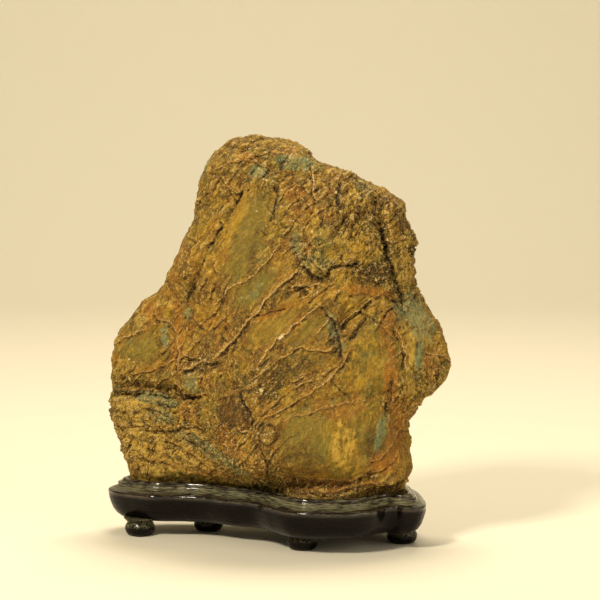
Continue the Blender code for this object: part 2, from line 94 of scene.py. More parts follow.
SEAMS = {
    FRONT: [
        # the long vein down the face and the dark line beneath it
        Seam(0.8, 0.7, 0.9, 0.85, [
            (11.5, 149.5), (7, 144.5), (1.5, 139.5), (-3.5, 135.5), (-6, 132.5), (-8.5, 128.5), (-12, 124.5),
            (-15, 121.5), (-18, 117), (-20.5, 114), (-25, 107.5), (-29, 103.5), (-33.5, 98)]),
        Seam(0.7, 0, 0.7, 0.25, [(-16, 123.5), (-12, 124), (-7, 125), (-4, 126), (5, 128.5)]),
        Seam(0.7, 0.5, 0.7, 0.75, [
            (23.5, 131), (21, 129), (17, 126), (14, 123.5), (10, 121), (6, 116.5), (2, 113.5), (-1, 112), (-2, 109),
            (-4, 106.5), (-7, 103.5), (-10, 99.5), (-10.5, 97)]),
        Seam(0.7, 0.5, 0.6, 0.65, [
            (30, 109.5), (25.5, 106.5), (21.5, 107), (14, 107.5), (12.5, 108.5), (9, 107.5), (7, 105), (3.5, 103.5),
            (-1, 101), (-4, 98), (-10, 93.5), (-16, 89)]),
        Seam(0.5, 0.4, 0.6, 0.8, [(27, 124), (25.5, 120.5), (21, 116), (18, 114.5)]),
        Seam(0.6, 0.5, 0.6, 0.7, [(14, 94), (11, 92), (6.5, 90)]),
        Seam(0.6, 0.5, 0.6, 0.7, [(20, 92.5), (16, 90.5), (12, 89), (7, 86)]),
        Seam(0.7, 0.5, 0.7, 0.65, [
            (38, 107), (35.5, 101.5), (32, 98), (28, 93.5), (23.5, 89.5), (18.5, 86.5), (14, 83.5), (7.5, 79),
            (-1, 75), (-9.5, 71)]),
        Seam(0.5, 0.4, 0.4, 0.95, [
            (0.5, 159.5), (-4.5, 153.5), (-8, 149), (-12, 145.5), (-15.5, 142), (-22, 139.5), (-25.5, 136.5),
            (-29.5, 131), (-34, 126.5)]),
        # the deep cracks down the left flank and beside the rough block on the right
        Seam(0.5, 0, 1, 0, [(-17.5, 188), (-19.5, 182), (-23, 176), (-25.5, 172)]),
        Seam(0.5, 0, 1.2, 0, [(-28, 168.5), (-31, 164), (-34, 160), (-36.5, 154.5)]),
        Seam(0.45, 0.4, 0.7, 0.2, [(-37, 153.5), (-40.5, 144.5), (-44, 138), (-47, 129.5), (-48, 122.5)]),
        Seam(0.8, 0, 2.2, 0, [
            (53, 172), (53.5, 168), (54, 161), (56, 158.5), (56.5, 154), (58.5, 149.5), (60, 146), (61.5, 141.5),
            (63, 137)]),
        Seam(0.5, 0, 0.7, 0.1, [(63, 137), (64.5, 131), (64.5, 126)]),
        Seam(0.6, 0.4, 0.9, 0.7, [(55.5, 162), (58, 161), (62, 161), (67, 162)]),
        # grooves and lines of the crown
        Seam(0.7, 0, 0.9, 0.15, [(-1.5, 190), (0.5, 185.5), (-0.5, 182.5), (-1.5, 179), (-2, 172)]),
        Seam(0.6, 0, 0.7, 0.2, [(9.5, 196.5), (5, 194.5), (0.5, 191), (0.5, 186)]),
        Seam(0.6, 0.6, 0.5, 1, [(18, 198.5), (18.5, 192), (18.5, 187.5), (20.5, 182)]),
        Seam(0.9, 0, 1.1, 0.1, [(32.5, 192.5), (32, 186), (31, 180.5), (33, 177.5)]),
        Seam(0.5, 0.4, 0.6, 0.6, [(-34, 196), (-26, 201), (-16, 203), (-8, 200), (-2, 197)]),
        Seam(0.6, 0.4, 0.5, 0.6, [(-28, 190), (-20, 186), (-14, 189)]),
        # under the knobbly patch, and the lines of the middle right
        Seam(1, 0, 1.6, 0.05, [
            (10, 150), (13.5, 149), (18, 144.5), (22, 142.5), (25, 144.5), (28, 148.5), (33, 149.5), (38, 149.5),
            (44, 151.5)]),
        Seam(0.9, 0.9, 0.9, 0.9, [(8, 138.5), (13.5, 140.5), (17, 140), (21, 140.5)]),
        Seam(0.5, 0.5, 0.6, 0.9, [(33, 138.5), (30.5, 134.5), (29, 132)]),
        Seam(0.7, 0.7, 1.2, 0.95, [(49, 132.5), (42.5, 127.5), (36.5, 123), (31.5, 118)]),
        Seam(1.1, 0, 1.3, 0.1, [(46, 123), (41, 117.5), (36.5, 112)]),
        Seam(1.5, 1.1, 0.8, 0.2, [
            (22, 130.5), (25, 125.5), (29, 121.5), (31, 115.5), (32, 111), (33, 105), (33.5, 100), (34.5, 94)]),
        Seam(0.7, 0.3, 0.8, 0.4, [(36, 134.5), (43.5, 136), (50, 134), (58, 133), (63, 131)]),
        Seam(0.5, 0.5, 0.5, 0.55, [(47, 81), (39.5, 81), (32, 79.5), (23.5, 77), (16.5, 74.5), (9, 73.5), (4, 71)]),
        Seam(0.9, 0.5, 1.2, 0.35, [(60.5, 94), (59.5, 86), (58.5, 80), (58, 76), (60.5, 71.5)]),
        Seam(0.6, 0.5, 0.7, 0.6, [(60.5, 118), (64.5, 110), (66.5, 102), (65, 94)]),
        Seam(0.5, 0.4, 0.6, 0.6, [(84, 108), (81, 100), (80, 95)]),
        Seam(0.6, 0.4, 0.7, 0.55, [(66, 66), (61, 58), (54, 51), (46, 47)]),
        Seam(0.5, 0.3, 0.6, 0.5, [(66, 56), (60.5, 48), (52, 43), (44, 40.5)]),
        # ledges at the foot
        Seam(0.9, 0.8, 1.4, 0.45, [
            (2, 37), (11.5, 35), (16, 37.5), (22, 38.5), (32.5, 38), (39.5, 37.5), (44, 40.5), (50, 45)]),
        Seam(0.9, 0.8, 1.4, 0.4, [
            (6, 32), (12, 32.5), (18, 33.5), (24.5, 31.5), (31, 33), (38, 34.5), (46, 36), (54, 36)]),
        # the crumbling ledge, the long crevice on the left and the crust below it
        Seam(1, 0.9, 1.6, 0.8, [(-31, 99), (-36.5, 97.5), (-41.5, 96), (-46, 92.5), (-51, 91)]),
        Seam(0.8, 0.6, 0.9, 0.7, [(-53, 96), (-48, 99.5), (-45, 97.5), (-41, 100)]),
        Seam(1, 0.5, 2.2, 0.15, [(-89, 76), (-82, 77.5), (-76.5, 78), (-69, 79), (-62, 78), (-58.5, 77.5)]),
        Seam(0.6, 0.5, 0.6, 0.55, [
            (-46, 76), (-40, 79.5), (-37, 80), (-32.5, 77), (-28, 80), (-22.5, 83), (-16, 86), (-10, 88)]),
        Seam(0.65, 0, 2, 0, [(-19.5, 82.5), (-18, 79), (-15, 75.5), (-13, 71), (-12.5, 67), (-13.5, 63)]),
        Seam(0.5, 0.5, 0.5, 1, [(-20.5, 65), (-18, 63.5), (-14.5, 64.5)]),
        Seam(0.5, 0, 1.2, 0, [(-8.5, 56.5), (-7, 52), (-5.5, 46.5), (-4.5, 41), (-4.5, 36)]),
        Seam(0.7, 0.4, 1.1, 0.25, [
            (-80, 62), (-72, 59.5), (-66, 57.5), (-58.5, 57), (-51, 61), (-42, 62), (-37, 60.5)]),
        Seam(0.6, 0.4, 0.8, 0.3, [(-77, 66.5), (-68, 69.5), (-61, 67)]),
        Seam(0.6, 0.4, 0.8, 0.3, [(-49, 54.5), (-41, 52), (-33, 48.5), (-26, 43)]),
        Seam(0.6, 0.4, 0.8, 0.35, [(-60, 52), (-52, 50.5), (-45, 46), (-38, 42)]),
        Seam(0.6, 0.6, 0.8, 1, [(-88, 57.5), (-84, 50.5), (-81, 46), (-79, 50)]),
        Seam(0.6, 0.4, 0.8, 0.5, [(-76, 44), (-68, 40.5), (-60, 41), (-54, 37)]),
        Seam(0.6, 0.5, 0.7, 0.6, [(-67, 121), (-62, 117), (-56, 116), (-53, 110), (-52, 98), (-52.5, 88)]),
        Seam(0.6, 0.5, 0.6, 0.6, [(-78, 88), (-68, 90), (-60, 93), (-53, 97)]),
    ],
    BACK: [
        Seam(0.9, 0, 2, 0, [(33, 190), (27, 176), (18, 160), (12, 138), (3, 124), (-4, 112), (-12, 88)]),
        Seam(0.8, 0.7, 0.9, 0.8, [(-56, 132), (-44, 132), (-20, 128), (-4, 121), (12, 116), (40, 92)]),
        Seam(0.9, 0.3, 1.8, 0.15, [(-80, 78), (-68, 72), (-42, 70), (-8, 52), (30, 47), (60, 56)]),
        Seam(0.6, 0.5, 0.6, 0.9, [(-34, 176), (-20, 168), (-6, 164), (10, 152)]),
        Seam(0.6, 0.5, 0.7, 0.6, [(68, 128), (54, 120), (40, 118), (24, 108), (12, 100)]),
        Seam(0.6, 0.5, 0.6, 0.7, [(-62, 104), (-48, 98), (-36, 88), (-26, 82)]),
        Seam(0.6, 0.4, 0.7, 0.4, [(20, 78), (34, 74), (44, 66), (58, 62)]),
        Seam(0.6, 0.4, 0.7, 0.5, [(-70, 52), (-52, 56), (-36, 48), (-22, 46)]),
    ],
    LEFT_END: [
        Seam(0.9, 0.4, 1.8, 0.15, [(-4, 78.5), (8, 77), (20, 79), (32, 74), (40, 72)]),
        Seam(0.6, 0.5, 0.7, 0.7, [(4, 112), (14, 104), (24, 100), (34, 90)]),
        Seam(0.6, 0.5, 0.7, 0.5, [(2, 62), (14, 58), (26, 60), (36, 54)]),
    ],
    RIGHT_END: [
        Seam(0.8, 0.3, 1.5, 0.1, [(-12, 160), (-4, 146), (4, 132), (8, 116)]),
        Seam(0.6, 0.5, 0.6, 0.7, [(-20, 104), (-8, 98), (4, 92), (18, 88)]),
        Seam(0.6, 0.4, 0.8, 0.4, [(-22, 66), (-10, 60), (6, 62), (20, 54)]),
    ],
}

# Where the stone is smooth, crusted, crumbling, knobbly or wrinkled. Here and in the next tables a patch is its
# centre, half sizes, turn in degrees and strength.
TEXTURES = {
    "slab": {
        FRONT: [
            (-17, 163, 8, 24, -14, 1), (-12, 139, 15, 6.5, 40, 1), (-2, 118.5, 17, 7, 42, 1),
            (18.5, 118.5, 13, 6, 38, 1), (12, 99.5, 17, 6, 22, 0.9), (42, 136, 9, 5, 10, 0.6),
            (48, 98, 14, 17, 0, 0.9), (33, 60, 29, 20, 0, 1), (-72, 100, 13, 14, 10, 0.8), (-23, 72, 7, 8.5, 10, 1),
            (73, 107, 9, 18, -10, 0.75),
        ],
        BACK: [
            (-26, 150, 18, 13, 20, 0.8), (36, 140, 17, 12, -30, 0.8), (-30, 100, 24, 10, 12, 0.7),
            (36, 84, 22, 14, -12, 0.8),
        ],
    },
    "crust": {
        FRONT: [
            (-62, 56, 34, 21, 0, 1), (-28, 52, 14, 20, 35, 1), (-16, 40, 12, 9, 0, 0.9), (-80, 84, 10, 8, 0, 0.8),
        ],
        LEFT_END: [(16, 56, 36, 22, 0, 1)],
        BACK: [(-64, 54, 28, 18, 0, 0.9)],
    },
    "crumble": {
        FRONT: [
            (62, 150, 9, 15, 0, 1), (46, 172, 15, 14, 0, 0.8), (46, 150, 13, 10, 0, 0.7), (-42, 96, 12, 5, 18, 1),
            (14, 138.5, 10, 3.5, 0, 0.9), (62, 76, 8, 16, -10, 0.6), (78, 84, 10, 12, -30, 0.7),
            (0, 92, 26, 9, 26, 0.6), (28, 34, 40, 6, 0, 0.8),
        ],
        BACK: [(44, 170, 20, 14, 0, 0.7), (4, 52, 30, 14, 0, 0.6)],
        RIGHT_END: [(0, 150, 24, 22, 0, 0.8)],
    },
    "knobs": {
        FRONT: [(15, 156, 8.5, 9, 0, 1), (24, 150, 8, 6, 0, 0.9), (37, 146, 9, 5, 0, 0.6)],
    },
    "wrinkle": {
        FRONT: [
            (26, 182, 26, 18, -20, 1), (-12, 200, 24, 14, 0, 0.9), (-32, 178, 12, 24, -18, 0.7),
            (78, 100, 10, 16, 0, 0.6),
        ],
        BACK: [(0, 190, 44, 20, 0, 0.8)],
    },
}

# What the weather has coloured, and among the umber patches some painted shade.
TINTS = {
    "rust": {
        FRONT: [
            (-14.5, 204, 6, 3, -12, 1), (-5, 200.5, 4, 1.8, -20, 0.8), (8.5, 186, 6, 4.6, 0, 1.2),
            (16, 158, 3, 4.5, 0, 0.9), (17, 136, 13, 4, 8, 0.7), (47, 136.5, 14, 2.6, -8, 1),
            (60.5, 132.5, 2.6, 1.6, 0, 1), (-66, 122.5, 8, 5, 0, 0.9), (-52.5, 108, 3.2, 21, 0, 1),
            (-35, 118, 11, 3.5, 4, 0.7), (-36, 86, 7, 5, -20, 0.6), (-22, 55, 19, 3.6, -48, 0.9),
            (-10, 43, 5, 8, 15, 0.7), (62, 66, 4.4, 16, -10, 1.4), (56, 48, 9, 6, 30, 1.1),
            (58.5, 92, 3.6, 16, 0, 1.2), (57, 118, 5, 10, 0, 0.8), (80, 96, 5, 11, 10, 0.8), (13, 178, 8, 6, 0, 0.7),
            (30, 35, 34, 4, 0, 0.6), (-34, 166, 3, 24, -26, 0.5), (4, 128, 12, 2.2, 20, 0.7),
            (-7, 124, 8, 2, 10, 0.8), (-22.5, 73, 6, 8, 10, 0.25), (-27, 56, 8, 4.6, -40, 1.3),
            (-48, 71, 5, 7, 0, 0.9), (-74, 92, 9, 5, 0, 0.6), (-52, 57, 9, 3, -20, 0.6), (-40, 38, 24, 3, -4, 0.6),
        ],
    },
    "verdigris": {
        FRONT: [
            (8, 201, 12, 3.2, -4, 1.5), (-9, 197.5, 5, 3.6, 20, 1.1), (45, 189, 5, 3, -30, 0.7),
            (10.5, 161, 3, 8, 0, 0.8), (20, 151, 10, 6, 0, 0.6), (74, 121, 8, 15, 30, 0.75), (66, 127, 6, 8, 0, 0.8),
            (73.5, 103, 2.4, 12, -4, 0.9), (33, 108, 2.8, 2.6, 0, 1), (-59.5, 110.5, 2.2, 10.5, 0, 0.8),
            (-65, 74.5, 12, 3.4, -10, 1.4), (-62, 66, 8, 4.5, -20, 1.1), (-38, 51.5, 17, 3.6, -24, 1.2),
            (-21, 42.5, 8, 3.6, -30, 1), (-12, 137, 9, 4, 40, 0.45), (29, 117, 3, 13, 18, 0.9),
            (-46, 86, 4.5, 6.5, 30, 0.8), (53.5, 65, 2.6, 12, -14, 0.85), (0, 184, 1.6, 9, 0, 0.5),
            (-47.5, 122, 2.6, 4.5, 0, 0.6), (5, 36, 6, 3, 0, 0.4),
        ],
        BACK: [(20, 186, 12, 5, 12, 0.6), (-48, 70, 18, 5, 8, 0.6), (68, 112, 8, 16, 20, 0.7)],
    },
    "ochre": {
        FRONT: [
            (-23, 172, 5, 17, -20, 0.9), (0, 121, 16, 6.5, 42, 0.5), (16, 133.5, 14, 4.6, 14, 0.8),
            (-60, 58, 30, 20, 0, 0.75), (-24, 50, 14, 13, 0, 0.7), (33, 58, 9, 15, 0, 0.7), (46, 100, 12, 15, 0, 0.6),
            (44, 183, 11, 4.5, -25, 0.8), (38, 166, 7, 8, 0, 0.5), (-36, 146, 5, 22, -24, 0.35),
            (-8, 209, 14, 4, 0, 0.5), (64, 46, 4, 8, 0, 0.8), (-38, 92, 14, 16, 0, 0.4), (66, 112, 6, 8, 0, 0.5),
        ],
    },
    "olive": {
        FRONT: [
            (-12, 139, 14, 6, 40, 1), (-16, 160, 8, 24, -14, 1.2), (-36, 158, 5, 14, -24, 0.5),
            (52, 104, 10, 8, 0, 0.6), (19, 118, 12, 6, 38, 1), (12, 99.5, 16, 6, 22, 0.8), (0, 119.5, 15, 6, 42, 0.8),
            (15, 60, 14, 14, 0, 1.4), (57, 60, 5, 12, -10, 0.9), (-72, 100, 9, 13, 0, 0.7), (44, 104, 8, 8, 0, 0.5),
            (-9, 63.5, 5, 5, 0, 0.5),
        ],
        BACK: [(-26, 150, 18, 12, 20, 0.8), (36, 84, 20, 12, -12, 0.8)],
    },
    "umber": {
        FRONT: [
            # the long low bands at (33, 33.5) and (30, 31) are painted shade along the foot of the stone, where it sits
            # into the stand
            (-38, 158, 4, 22, -24, 0.35), (-20, 196, 10, 7, 0, 0.4), (22, 190, 8, 7, 0, 0.4), (49, 145, 11, 7, 0, 1),
            (-22.5, 72, 7, 8.5, 10, 3.4), (-5, 64, 5, 5, 0, 2), (33, 33.5, 30, 3.5, 0, 1.2),
            (76, 82, 9, 12, -25, 0.4), (32.5, 180, 2.6, 6, 0, 0.9), (50, 178, 3.4, 7, 0, 0.8),
            (43, 168, 8, 7, 0, 0.3), (13, 50, 13, 10, 0, 0.65), (10, 98, 16, 5, 24, 0.7), (50, 58, 6, 12, -14, 0.8),
            (-13, 150, 3, 16, -10, 0.7), (-80, 48, 6, 7, 0, 0.6), (-71, 82, 13, 3.6, 4, 0.8),
            (-38, 94.5, 12, 4, 20, 0.6), (-6, 46, 5, 14, -8, 0.5), (-20, 88, 16, 5, 20, 0.6),
            (-42, 103, 7, 6, 20, 0.5), (30, 31, 34, 3.4, 0, 0.9), (45, 56, 5, 6, 30, 0.5), (22, 143, 7, 3, 0, 0.8),
            (6, 92, 18, 6, 24, 0.5), (41, 116, 3, 8, -40, 0.7),
        ],
        BACK: [(10, 110, 20, 12, 30, 0.5)],
    },
    "straw": {
        FRONT: [
            (-66, 52, 26, 16, -10, 1.2), (-74, 68, 15, 8, -8, 1.1), (-84, 64, 6, 12, 0, 0.9),
            (-34, 50, 12, 10, 30, 0.5), (66, 150, 6, 12, 0, 1), (50, 160, 4, 10, 0, 0.6), (52, 132, 9, 5, 0, 0.5),
            (78, 84, 8, 8, 0, 0.5), (69, 104, 3, 16, -4, 0.7), (14, 174, 12, 12, 0, 0.4), (-60, 124, 9, 4, 20, 0.6),
            (74, 116, 7, 13, 25, 0.6), (-72, 118, 6, 6, 0, 0.5), (44, 181, 10, 5, -25, 0.5),
            (-24, 176, 4, 12, -18, 0.3), (34, 58, 7, 14, 0, 0.5), (-52, 112, 3, 18, 0, 0.4), (34, 166, 6, 6, 0, 0.5),
            (16, 134, 12, 3, 14, 0.4), (-83, 66, 6, 9, 0, 0.6), (-70, 74.5, 11, 2.4, -6, 0.8),
            (-64, 50, 26, 17, 0, 0.55), (-66, 66, 20, 6, -8, 0.6), (-26, 52, 12, 14, 30, 0.4),
            (-80, 93, 6, 4, 0, 0.5), (-38, 97, 9, 3, 18, 0.6), (-84, 48, 5, 8, 0, 0.6),
        ],
        BACK: [(-60, 60, 14, 8, 0, 0.5)],
    },
}

# How high the small forms of the rock stand on each texture, and on the plain rock between, in millimetres.
CRISP = {
    "plain": {"faces": 0.8, "chips": 0.55, "small chips": 0.4, "flakes": 0.15, "broad folds": 0.3, "fine folds": 0.25,
              "domes": 0.3, "joints": -0.2},
    "slab": {"faces": 0.35, "hackle": 0.04, "fine folds": 0.08},
    "wrinkle": {"broad folds": 0.35, "fine folds": 0.25, "boulders": 0.9},
    "crumble": {"chips": 0.5, "small chips": 0.35, "flakes": 0.2, "boulders": 1.0, "broad folds": 0.3,
                "joints": -0.4},
    "crust": {"pits": 0.45, "broad folds": 0.5, "fine folds": 0.35, "domes": 0.4, "small chips": 0.45,
              "flakes": 0.25},
    "knobs": {"beads": 1.0},
}

# How rough the plain rock is, 0 to 1, and what each texture adds to that.
PLAIN_ROUGH = 0.42
ROUGHER = {"slab": -0.36, "crust": 0.5, "crumble": 0.45, "knobs": 0.3, "wrinkle": 0.18}

# The way the small folds run where they don't rise to the right: upright, or nearly level.
FLOWS = {
    "upright": {
        FRONT: [
            (40, 178, 24, 20, 0, 1), (33, 60, 30, 20, 0, 1), (50, 98, 15, 20, 0, 1), (76, 104, 16, 26, 0, 1),
            (62, 150, 10, 18, 0, 0.8), (-8, 186, 12, 16, 0, 0.7), (-60, 108, 14, 16, 0, 0.6),
        ],
        BACK: [(20, 180, 40, 24, 0, 0.8)],
        RIGHT_END: [(0, 120, 30, 60, 0, 0.7)],
    },
    "level": {
        FRONT: [(-58, 56, 36, 22, -8, 1), (28, 34, 40, 6, 0, 1), (-14, 206, 24, 6, 0, 0.7)],
        LEFT_END: [(16, 56, 36, 24, 0, 1)],
        BACK: [(-50, 52, 50, 20, 0, 0.8)],
    },
}

# Pale specks, painted bright as small glints: centre and radius.
SPECKS = {
    FRONT: [
        (1.4, 113, 1), (2.8, 114.2, 0.8), (-18.1, 132.6, 0.6), (-22.5, 125.5, 0.6), (0.8, 105.7, 0.6),
        (23.5, 89.5, 0.7), (-10.6, 177, 0.6), (-10.4, 175.6, 0.5), (6.8, 172.6, 0.6), (8.4, 172.4, 0.6),
        (18, 167, 0.8), (-14.5, 208, 0.7), (7, 210, 0.7), (18.3, 198.6, 0.7), (18.6, 188, 0.6), (57, 161.6, 0.7),
        (-8, 86.5, 1.1), (-10, 85, 0.7), (-78.4, 95.6, 0.9), (-76, 94.8, 0.7), (-48, 104, 0.7), (26, 60.5, 0.5),
        (30, 46, 0.6), (32.5, 45.6, 0.6), (13.4, 133.6, 0.6), (-40.5, 98.4, 0.8), (-37.6, 98, 0.7),
        (-44.6, 95.2, 0.8), (-70.6, 118, 0.6), (-83.6, 60, 0.8), (-86, 62.6, 0.7), (40, 107.6, 0.6),
        (-25.6, 161.6, 0.5), (58.6, 152, 0.6), (17, 139.4, 0.6), (-60, 75.6, 0.6),
    ],
    BACK: [(-20, 150, 0.8), (14, 132, 0.7), (40, 108, 0.9), (-40, 90, 0.8), (22, 74, 0.7), (-8, 176, 0.7)],
}

# Round marks on the face: centre, radius, height of the dome inside and depth of the groove round it.
RINGS = [(-56.0, 78.0, 2.1, 0.3, 0.9), (-49.5, 78.5, 2.3, 0.3, 0.9), (-5.0, 64.0, 5.2, 0.9, 1.0)]

# Directions across the planes that the rock splits along, which rise to the right on its face and lean back
# into it, across its cross joints and the layers of its crust, along its grain and along its folds.
CLEAVAGE = np.array((-0.68, 0.26, 0.685))
CROSS_JOINTS = np.array((0.62, 0.5, 0.6))
CRUST_LAYERS = np.array((0.12, -0.3, 0.94))
GRAIN = np.array((0.7, 0.2, 0.69))
RISING = np.array((0.68, 0.0, 0.73))
UPRIGHT = np.array((0.1, 0.0, 0.995))
LEVEL = np.array((0.98, 0.0, -0.2))

# Families of fine parallel seams all through the rock: direction across them, spacing and seed.
SHEETS = [(CLEAVAGE, 6.5, 601), (CROSS_JOINTS, 15.0, 611)]

# How far from a seam its colour reaches, and how far below it the surface comes back out.
SEAM_REACH = 3.2
STEP_REACH = 7.0

# The drawn line of a seam against its relief.
LINE_SHARE = 0.6

# Heights between which the relief fades out towards the recess that the stone sits in.
SEAT_LOW, SEAT_HIGH = 29.0, 34.0

# Smoothing passes behind the values "relief" and "edge": what stands out broadly, and the edges of chips.
BROAD_PASSES, EDGE_PASSES = 14, 3

# The loose grains: seed, how much they gather where it is grittiest, and their sizes against a middling one.
GRIT_SEED = 11
GRIT_CONTRAST = 1.6
SMALLEST_GRAIN, LARGEST_GRAIN = (0.55, 0.55, 0.4), (1.5, 1.25, 0.9)

# Points nearer than this are one point, in metres.
WELD = 0.00001

# ---------------------------------------------------------------------------- stand: shape

# The rim seen from above, counter-clockwise from the left end along the front.
RIM_OUTLINE = [
    (-90.9, 26.7), (-88.4, 15.7), (-78.9, 7.7), (-67.4, 1.7), (-52.4, 0.5), (-39.4, -2.8), (-27.4, -10.3),
    (-12.9, -17.3), (-4.4, -29.3), (5.1, -40.3), (18.6, -44.9), (36.6, -45.1), (48.1, -39.8), (56.1, -30.3),
    (61.1, -27.8), (66.6, -30.8), (73.6, -29.8), (77.6, -20.8), (76.6, -0.3), (72.6, 19.7), (63.6, 35.7),
    (47.6, 43.7), (27.6, 42.7), (5.6, 40.2), (-17.4, 42.2), (-41.4, 45.2), (-65.4, 44.7), (-83.4, 38.2),
]
# From the rim in to the wall of the recess, and the points round each.
LEDGE = 10.8
STAND_STATIONS = 460
# Smoothing passes over the directions across the rim.
RIM_PASSES = 250

# The section, from the underside round the apron: distance outside the recess wall, height.
APRON = [(0.0, 8.0), (2.2, 8.1), (4.4, 8.8), (6.6, 10.6), (8.3, 13.0), (9.5, 15.8), (10.3, 18.8), (10.7, 21.2)]
APRON_RUBBED = 0.25
# Apron edge, ledge, lower bead, upper bead: centre (out, height), radius, first and last degree, steps, and how
# rubbed it is and how much pale dust and painted reflection it carries.
MOULDINGS = [
    ((9.9, 22.6), 0.95, -10.0, 96.0, 7, 0.9, 0.4),
    ((8.3, 29.9), 5.3, 258.0, 236.0, 6, 0.5, 0.85),
    ((4.6, 26.4), 1.05, -30.0, 172.0, 10, 0.8, 0.8),
    ((1.75, 27.6), 1.7, -10.0, 178.0, 12, 0.9, 0.5),
]
RECESS_FLOOR = 20.0
# The last of the section, inside the recess: out, height, how rubbed, and how much dust and painted reflection.
RECESS = [(0.02, 24.0, 0.0, 0.6), (0.0, RECESS_FLOOR, 0.0, 0.8)]
# How many times longer than wide the lacquer's streaks are drawn along the rim.
STREAKS_DRAWN = 6.0
# How deep the wood's grain shows through the lacquer, in metres.
GRAIN_DEPTH = 0.0003

# The half section of a bun foot from the top of its axis to the bottom: radius, height.
FOOT_SECTION = [
    (0.0, 9.6), (8.9, 9.6), (8.0, 8.6), (7.1, 7.7), (6.7, 7.1), (7.0, 6.5), (7.6, 5.6), (7.95, 4.6), (8.0, 3.6),
    (7.8, 2.4), (7.35, 1.3), (6.6, 0.5), (5.8, 0.0), (0.0, 0.0),
]
# Where the feet stand, the steps round each, and the turn from one to the next in radians, so that no two look
# alike.
FEET = [(-73.6, 13.5), (13.1, -21.8), (65.6, -5.8), (-37.6, 26.3), (47.6, 26.7)]
FOOT_STEPS = 48
FOOT_TURN = 1.1

# ---------------------------------------------------------------------------- stage: places in metres

# The paper: half width, nearest and farthest, height of the wall, radius of the bend and steps round it.
PAPER_HALF, PAPER_NEAR, PAPER_FAR, PAPER_TOP, PAPER_BEND, BEND_STEPS = 3.2, -2.2, 1.5, 2.2, 0.5, 12

# Softboxes: name, place, width and height.
SOFTBOXES = [
    ("key", (-0.75, -1.0, 1.15), (0.26, 0.26)),
    ("overhead", (0.1, 0.35, 1.3), (0.7, 0.35)),
    ("fill", (1.3, -1.1, 0.7), (0.9, 0.9)),
]
LAMPLIGHT = "#fff4e2"
ROOM_LIGHT = "#fff6e6"
# The middle of the object, where the softboxes point.
MIDDLE = (0.0, 0.0, 0.11)
CAMERA_PLACE = (0.0118, -1.4, 0.3)
SENSOR_WIDTH_MM = 36.0

# ---------------------------------------------------------------------------- small tools


def linear(hex_colour):
    """A colour written as sRGB hex, as the linear RGB that shaders take."""
    parts = [int(hex_colour.lstrip("#")[start:start + 2], 16) / 255 for start in (0, 2, 4)]
    return tuple(part / 12.92 if part <= 0.04045 else ((part + 0.055) / 1.055) ** 2.4 for part in parts)


def smooth_step(low, high, value):
    """0 at or before low, 1 at or past high, with an easy start and end; low may exceed high."""
    share = np.clip((value - low) / (high - low), 0.0, 1.0)
    return share * share * (3.0 - 2.0 * share)


def scramble(cell, seed):
    """A repeatable random whole number for each lattice cell."""
    parts = cell.astype(np.int64).astype(np.uint32)
    mixed = (
        parts[:, 0] * np.uint32(374761393)
        + parts[:, 1] * np.uint32(668265263)
        + parts[:, 2] * np.uint32(2246822519)
        + np.uint32(seed * 97531)
    )
    mixed = (mixed ^ (mixed >> np.uint32(13))) * np.uint32(1274126177)
    mixed = (mixed ^ (mixed >> np.uint32(15))) * np.uint32(2246822519)
    return mixed ^ (mixed >> np.uint32(16))


def lot(cell, seed):
    """A repeatable random share, 0 to 1, for each lattice cell."""
    return (scramble(cell, seed) & np.uint32(255)) / 255.0


# Random directions that the noise and the chips take their slopes from.
SLOPES = np.random.default_rng(7).normal(size=(256, 3)).astype(np.float32)
SLOPES /= np.linalg.norm(SLOPES, axis=1, keepdims=True)


def noise(points, size, seed, octaves=1):
    """Smooth noise, about -1 to 1, with lumps `size` across; each further octave is half as large and strong."""
    total = np.zeros(len(points), np.float32)
    for octave in range(octaves):
        scaled = (points / (size / 2**octave) + 17.3 * octave).astype(np.float32)
        cell = np.floor(scaled)
        inner = scaled - cell
        ease = inner**3 * (inner * (inner * 6 - 15) + 10)
        for corner in product((0, 1), repeat=3):
            step = np.array(corner, np.float32)
            weight = np.prod(np.where(step > 0, ease, 1 - ease), axis=1)
            slope = SLOPES[scramble(cell + step, seed + octave) & np.uint32(255)]
            total += weight * np.einsum("ij,ij->i", inner - step, slope) * (1.6 / 2**octave)
    return total


def ridges(points, size, seed, octaves=1):
    """Noise folded into sharp crests, about -1 in the hollows to 1 on the crests."""
    total = np.zeros(len(points), np.float32)
    for octave in range(octaves):
        total += (1 - 2.6 * np.abs(noise(points, size / 2**octave, seed + 11 * octave))) / 2**octave
    return total


def cells(points, size, seed):
    """Scattered centres round each point: how far the nearest and the next are, the nearest's random share, and
    the lean of its chip, about -0.5 to 0.5, as if each centre carried a small plane tilted its own way."""
    scaled = (points / size).astype(np.float32)
    home = np.floor(scaled)
    first = np.full(len(points), 9.0, np.float32)
    second = first.copy()
    share = np.zeros(len(points), np.float32)
    lean = np.zeros(len(points), np.float32)
    for step in product((-1, 0, 1), repeat=3):
        cell = home + np.array(step, np.float32)
        mixed = scramble(cell, seed)
        jitter = np.stack([(mixed >> np.uint32(shift)) & np.uint32(255) for shift in (0, 8, 16)], 1) / 255.0
        gap = cell + jitter - scaled
        reach = np.linalg.norm(gap, axis=1)
        nearer = reach < first
        second = np.where(nearer, first, np.minimum(second, reach))
        share = np.where(nearer, (mixed >> np.uint32(24)) / 255.0, share)
        tilt = SLOPES[(mixed >> np.uint32(5)) & np.uint32(255)]
        lean = np.where(nearer, np.einsum("ij,ij->i", gap, tilt), lean)
        first = np.where(nearer, reach, first)
    return first * size, second * size, share, lean * 0.6


def chipped(points, size, seed):
    """Broken chips about -1 to 1: flat, leaning and stepped at their edges, drawn out along the stone's grain."""
    bent = points + 0.25 * size * np.stack([noise(points, size, seed + turn) for turn in (1, 2, 3)], 1)
    _, _, share, lean = cells(squeezed(bent, GRAIN, 1.8), size, seed)
    return np.clip(1.7 * lean + 0.9 * (share - 0.5), -1.0, 1.0)


